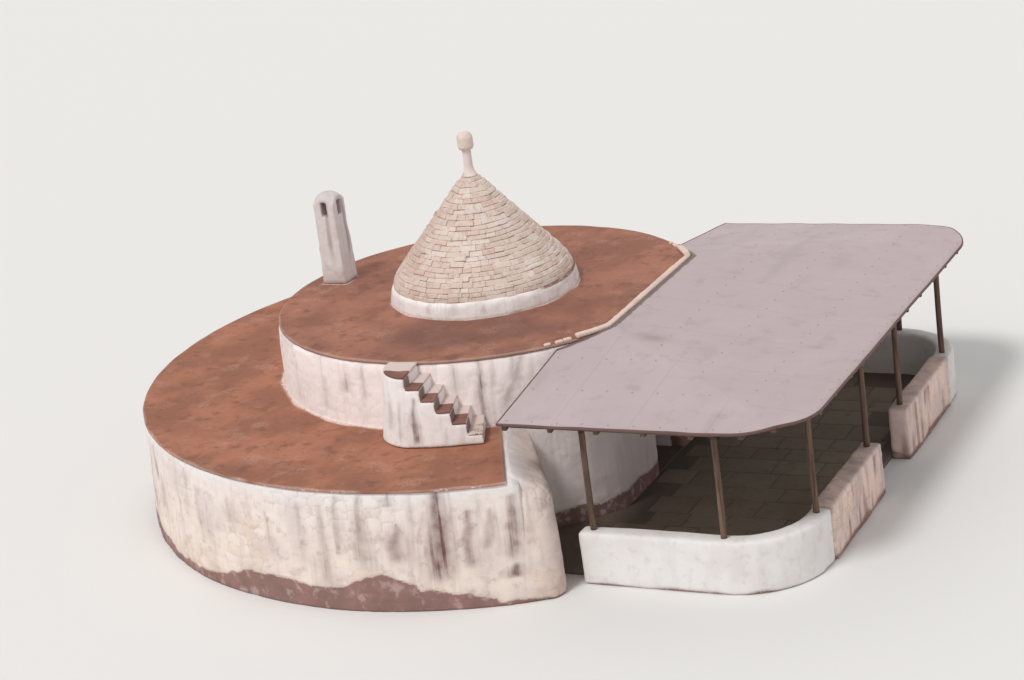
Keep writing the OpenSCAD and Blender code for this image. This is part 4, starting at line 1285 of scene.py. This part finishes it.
def fixing_places():
    """Where screws hold the sheet, in rows along the eaves, either side of the laps."""
    rows = (0.10, 0.95, 1.80, 2.65)
    apart, hip = 0.353, 1.30
    places = [(CANOPY_X - into, y) for y in np.arange(-CANOPY_Y + 0.53, CANOPY_Y - 0.5, apart)
              for into in rows if into < (CANOPY_Y - abs(y)) * hip + 0.02]
    for x in np.arange(CANOPY_START_X + 0.12, CANOPY_X - 0.5, apart):
        for into in rows[:3]:
            if into < (CANOPY_X - x) / hip - 0.05:
                places += [(x, -CANOPY_Y + into), (x, CANOPY_Y - into)]
    corner_x, corner_y = CANOPY_X - CANOPY_CORNER, CANOPY_Y - CANOPY_CORNER
    return [(x, y) for x, y in places
            if math.hypot(max(x - corner_x, 0), max(abs(y) - corner_y, 0)) < CANOPY_CORNER - 0.05
            and math.hypot(x, y) > DRUM_TOP_R + 0.10]


def points_inside(loop):
    """An even grid of places inside a loop in plan, clear of its line."""
    a = loop
    ab = np.roll(loop, -1, 0) - a
    above = a[:, 1]
    next_above = np.roll(above, -1)
    slant = ab[:, 0] / np.where(ab[:, 1] == 0, 1e-9, ab[:, 1])
    step, clear = 0.075, 0.03
    inside = []
    for q in np.array([(x, y) for x in np.arange(CANOPY_START_X + 0.06, CANOPY_X, step)
                       for y in np.arange(-CANOPY_Y + 0.04, CANOPY_Y, step)]):
        t = np.clip((ab * (q - a)).sum(1) / np.maximum((ab * ab).sum(1), 1e-12), 0, 1)
        away = np.hypot(*(q - (a + ab * t[:, None])).T).min()
        crossing = ((above > q[1]) != (next_above > q[1])) & (q[0] < slant * (q[1] - above) + a[:, 0])
        if crossing.sum() % 2 and away > clear:
            inside.append(q)
    return inside


def outer_edges(triangles):
    """The edges that only one triangle has."""
    edges = {}
    for tri in triangles:
        for a, b in zip(tri, tri[1:] + tri[:1]):
            if (b, a) in edges:
                del edges[b, a]
            else:
                edges[a, b] = True
    return list(edges)


def build_sheet(outer, inner):
    loop = np.concatenate([moved_in(outer, 0.006), inner])
    points = [Vector(q) for q in list(loop) + points_inside(loop)]
    made = geometry.delaunay_2d_cdt(points, [], [list(range(len(loop)))], 1, 1e-6)
    plan, triangles = np.array([v[:] for v in made[0]]), [tuple(tri) for tri in made[2]]
    count, upper = len(plan), len(triangles)
    top_z = sheet_height(plan)
    verts = np.concatenate([np.c_[plan, top_z], np.c_[plan, top_z - SHEET_T + 0.008]])
    faces = triangles + [tuple(i + count for i in tri[::-1]) for tri in triangles]
    faces += [(b, a, a + count, b + count) for a, b in outer_edges(triangles)]
    sheet = mesh_piece("canopy_sheet_skin", kept_in_box(verts), faces, smooth=False)
    outward(sheet)
    dress(sheet, CANOPY_TOP, ["canopy_sheet"])
    sheet.data.materials.append(CANOPY_UNDER_SHADE)
    under = np.zeros(len(sheet.data.polygons), np.int32)
    under[upper:2 * upper] = 1
    sheet.data.polygons.foreach_set("material_index", under)
    co = points_of(sheet)
    edge = np.minimum(CANOPY_X - co[:, 0], CANOPY_Y - abs(co[:, 1]))
    # A darker grey patch on the front plane near the drum.
    patch_x, patch_y = 3.35, -1.75
    patch = np.exp(-((co[:, 0] - patch_x) / 0.22) ** 2 - ((co[:, 1] - patch_y) / 0.12) ** 2)
    streaks = ease(lumps(co * [1, 0.25, 1], 0.25, 153) * 1.5 - 0.5)
    mark(sheet, stain=np.clip(0.5 * patch + 0.18 * streaks + 0.25 * ease((0.05 - edge) / 0.05), 0, 1))


# Section of the trim: distance in from the edge, height over the sheet
TRIM = ((0.0015, -0.003), (0.0015, -0.030), (0.004, -0.033), (0.020, -0.033), (0.024, -0.030), (0.024, 0.000),
        (0.020, 0.003), (0.004, 0.003))
# Outline of a screw's head: radius, height over the sheet
SCREW = ((0.017, -0.002), (0.017, 0.001), (0.010, 0.003), (0.009, 0.0075), (0.004, 0.009))


def build_canopy():
    outer, inner = canopy_outline()
    build_sheet(outer, inner)
    height = sheet_height(outer)
    loops = [np.c_[moved_in(outer, into), height + up] for into, up in TRIM]
    trim = swept("canopy_edge_trim", np.array(loops).transpose(1, 0, 2))
    set_points(trim, points_of(trim))
    dress(trim, EDGE_TRIM)

    screws, faces = [], []
    for x, y in fixing_places():
        z = float(sheet_height(np.array([[x, y]]))[0])
        faces += stacked_faces(len(screws), 8, len(SCREW))
        for r, up in SCREW:
            screws += [(x + r * math.cos(a), y + r * math.sin(a), z + up)
                       for a in np.radians(np.arange(0, 360, 45))]
    fixings = mesh_piece("canopy_fixings", kept_in_box(np.array(screws)), faces, smooth=False)
    dress(fixings, FIXING)

    for node, finish in (("canopy_rafters", TIMBER_Y), ("canopy_beams", TIMBER), ("wall_plate", TIMBER_Y)):
        timber = cad[node]
        finished_in(timber, finish)
        timber.modifiers.new("joined", "WELD").merge_threshold = 0.0001
        bevel = timber.modifiers.new("worn edges", "BEVEL")
        bevel.width, bevel.segments = 0.006, 1
        bevel.limit_method, bevel.angle_limit = "ANGLE", math.radians(40)


def stacked_faces(start, size, rings):
    """Faces of a round shape from its rings of points, one above the other."""
    faces = []
    for i in range(rings - 1):
        a, b = start + i * size, start + (i + 1) * size
        faces += [(a + k, a + (k + 1) % size, b + (k + 1) % size, b + k) for k in range(size)]
    top = start + (rings - 1) * size
    return faces + [tuple(start + size - 1 - k for k in range(size)), tuple(top + k for k in range(size))]


def build_posts():
    """Round chestnut poles with a slight bend and an uneven girth."""
    parapet_start = TIER_FOOT_R * math.cos(math.radians(SHOULDER_END)) + 0.015
    places = [(parapet_start + POST_INSET, -BEAM_Y, PARAPET_TOP), (CORNER_X, -BEAM_Y, PARAPET_TOP),
              (BEAM_X, -CORNER_Y, PARAPET_TOP),
              (BEAM_X, -WAY_IN_HALF - POST_INSET, PARAPET_TOP + OLD_WALL_STEP)]
    places += [(x, -y, z) for x, y, z in places]
    sides = 20
    verts, faces = [], []
    for number, (x, y, foot) in enumerate(places):
        long = BEAM_UNDER_Z - foot
        rings = max(8, round(long / 0.05))
        faces += stacked_faces(len(verts), sides, rings + 1)
        for i in range(rings + 1):
            t = i / rings
            bend = 0.006 * math.sin(math.pi * t) * (1 if number % 2 else -1)
            for k in range(sides):
                a = 2 * math.pi * k / sides
                p = np.array([[x + math.cos(a), y + math.sin(a), foot + t]])
                r = 0.043 - 0.003 * t + 0.0022 * float(lumps(p, 0.35, 161 + number)[0])
                verts.append((x + bend + r * math.cos(a), y + r * math.sin(a), foot + long * t))
    dress(mesh_piece("canopy_poles", verts, faces), TIMBER_POST, ["canopy_posts"])


# Floor, light and camera

def build_stage():
    far, under = 400, -0.002
    corners = [(x, y, under) for x, y in ((-far, -far), (far, -far), (far, far), (-far, far))]
    ground = mesh_piece("floor", corners, [(0, 1, 2, 3)])
    pale, _, shader = new_finish("pale floor", 0.9)
    shader.inputs["Base Color"].default_value = (0.80, 0.79, 0.78, 1)
    ground.data.materials.append(pale)
    world = bpy.data.worlds.new("pale room")
    world.use_nodes = True
    bpy.context.scene.world = world
    tree = world.node_tree
    light = tree.nodes["Background"]
    light.inputs["Color"].default_value = (1.0, 0.99, 0.98, 1)
    light.inputs["Strength"].default_value = 0.62
    seen = put(tree, "ShaderNodeBackground", {"Color": (0.90, 0.895, 0.89, 1), "Strength": 1.0})
    rays = tree.nodes.new("ShaderNodeLightPath").outputs
    pale_rays = sums(tree, "MAXIMUM", sums(tree, "MAXIMUM", rays["Is Camera Ray"], rays["Is Glossy Ray"]),
                     rays["Is Transmission Ray"])
    mix = put(tree, "ShaderNodeMixShader", {0: pale_rays, 1: light.outputs[0], 2: seen.outputs[0]})
    fill(tree, tree.nodes["World Output"].inputs[0], mix.outputs[0])
    lamp = bpy.data.lights.new("key", "SUN")
    lamp.energy, lamp.angle, lamp.color = 1.55, math.radians(14), (1.0, 0.985, 0.96)
    key = shown("key", lamp)
    to_sun = Vector((-0.20, -0.64, 1.0))
    key.rotation_euler = to_sun.to_track_quat("Z", "Y").to_euler()


def build_camera():
    place = Vector((16.01, -30.11, 13.3))
    target = Vector((0.45, -0.25, 1.95))
    view = bpy.data.cameras.new("camera")
    view.sensor_width, view.lens = 36.0, 86.0
    view.clip_start, view.clip_end = 1.0, 400.0
    camera = shown("camera", view)
    camera.location = place
    look = (target - place).to_track_quat("-Z", "Y")
    roll = Matrix.Rotation(math.radians(-7.75), 3, "Z")
    camera.rotation_euler = (look.to_matrix() @ roll).to_euler()
    bpy.context.scene.camera = camera
    bpy.context.scene.view_settings.view_transform = "Standard"


for build in (build_tier, build_ledge, build_drum, build_terrace, build_cone, build_chimney, build_stair,
              build_parapets, build_floors, build_canopy, build_posts, build_stage, build_camera):
    build()
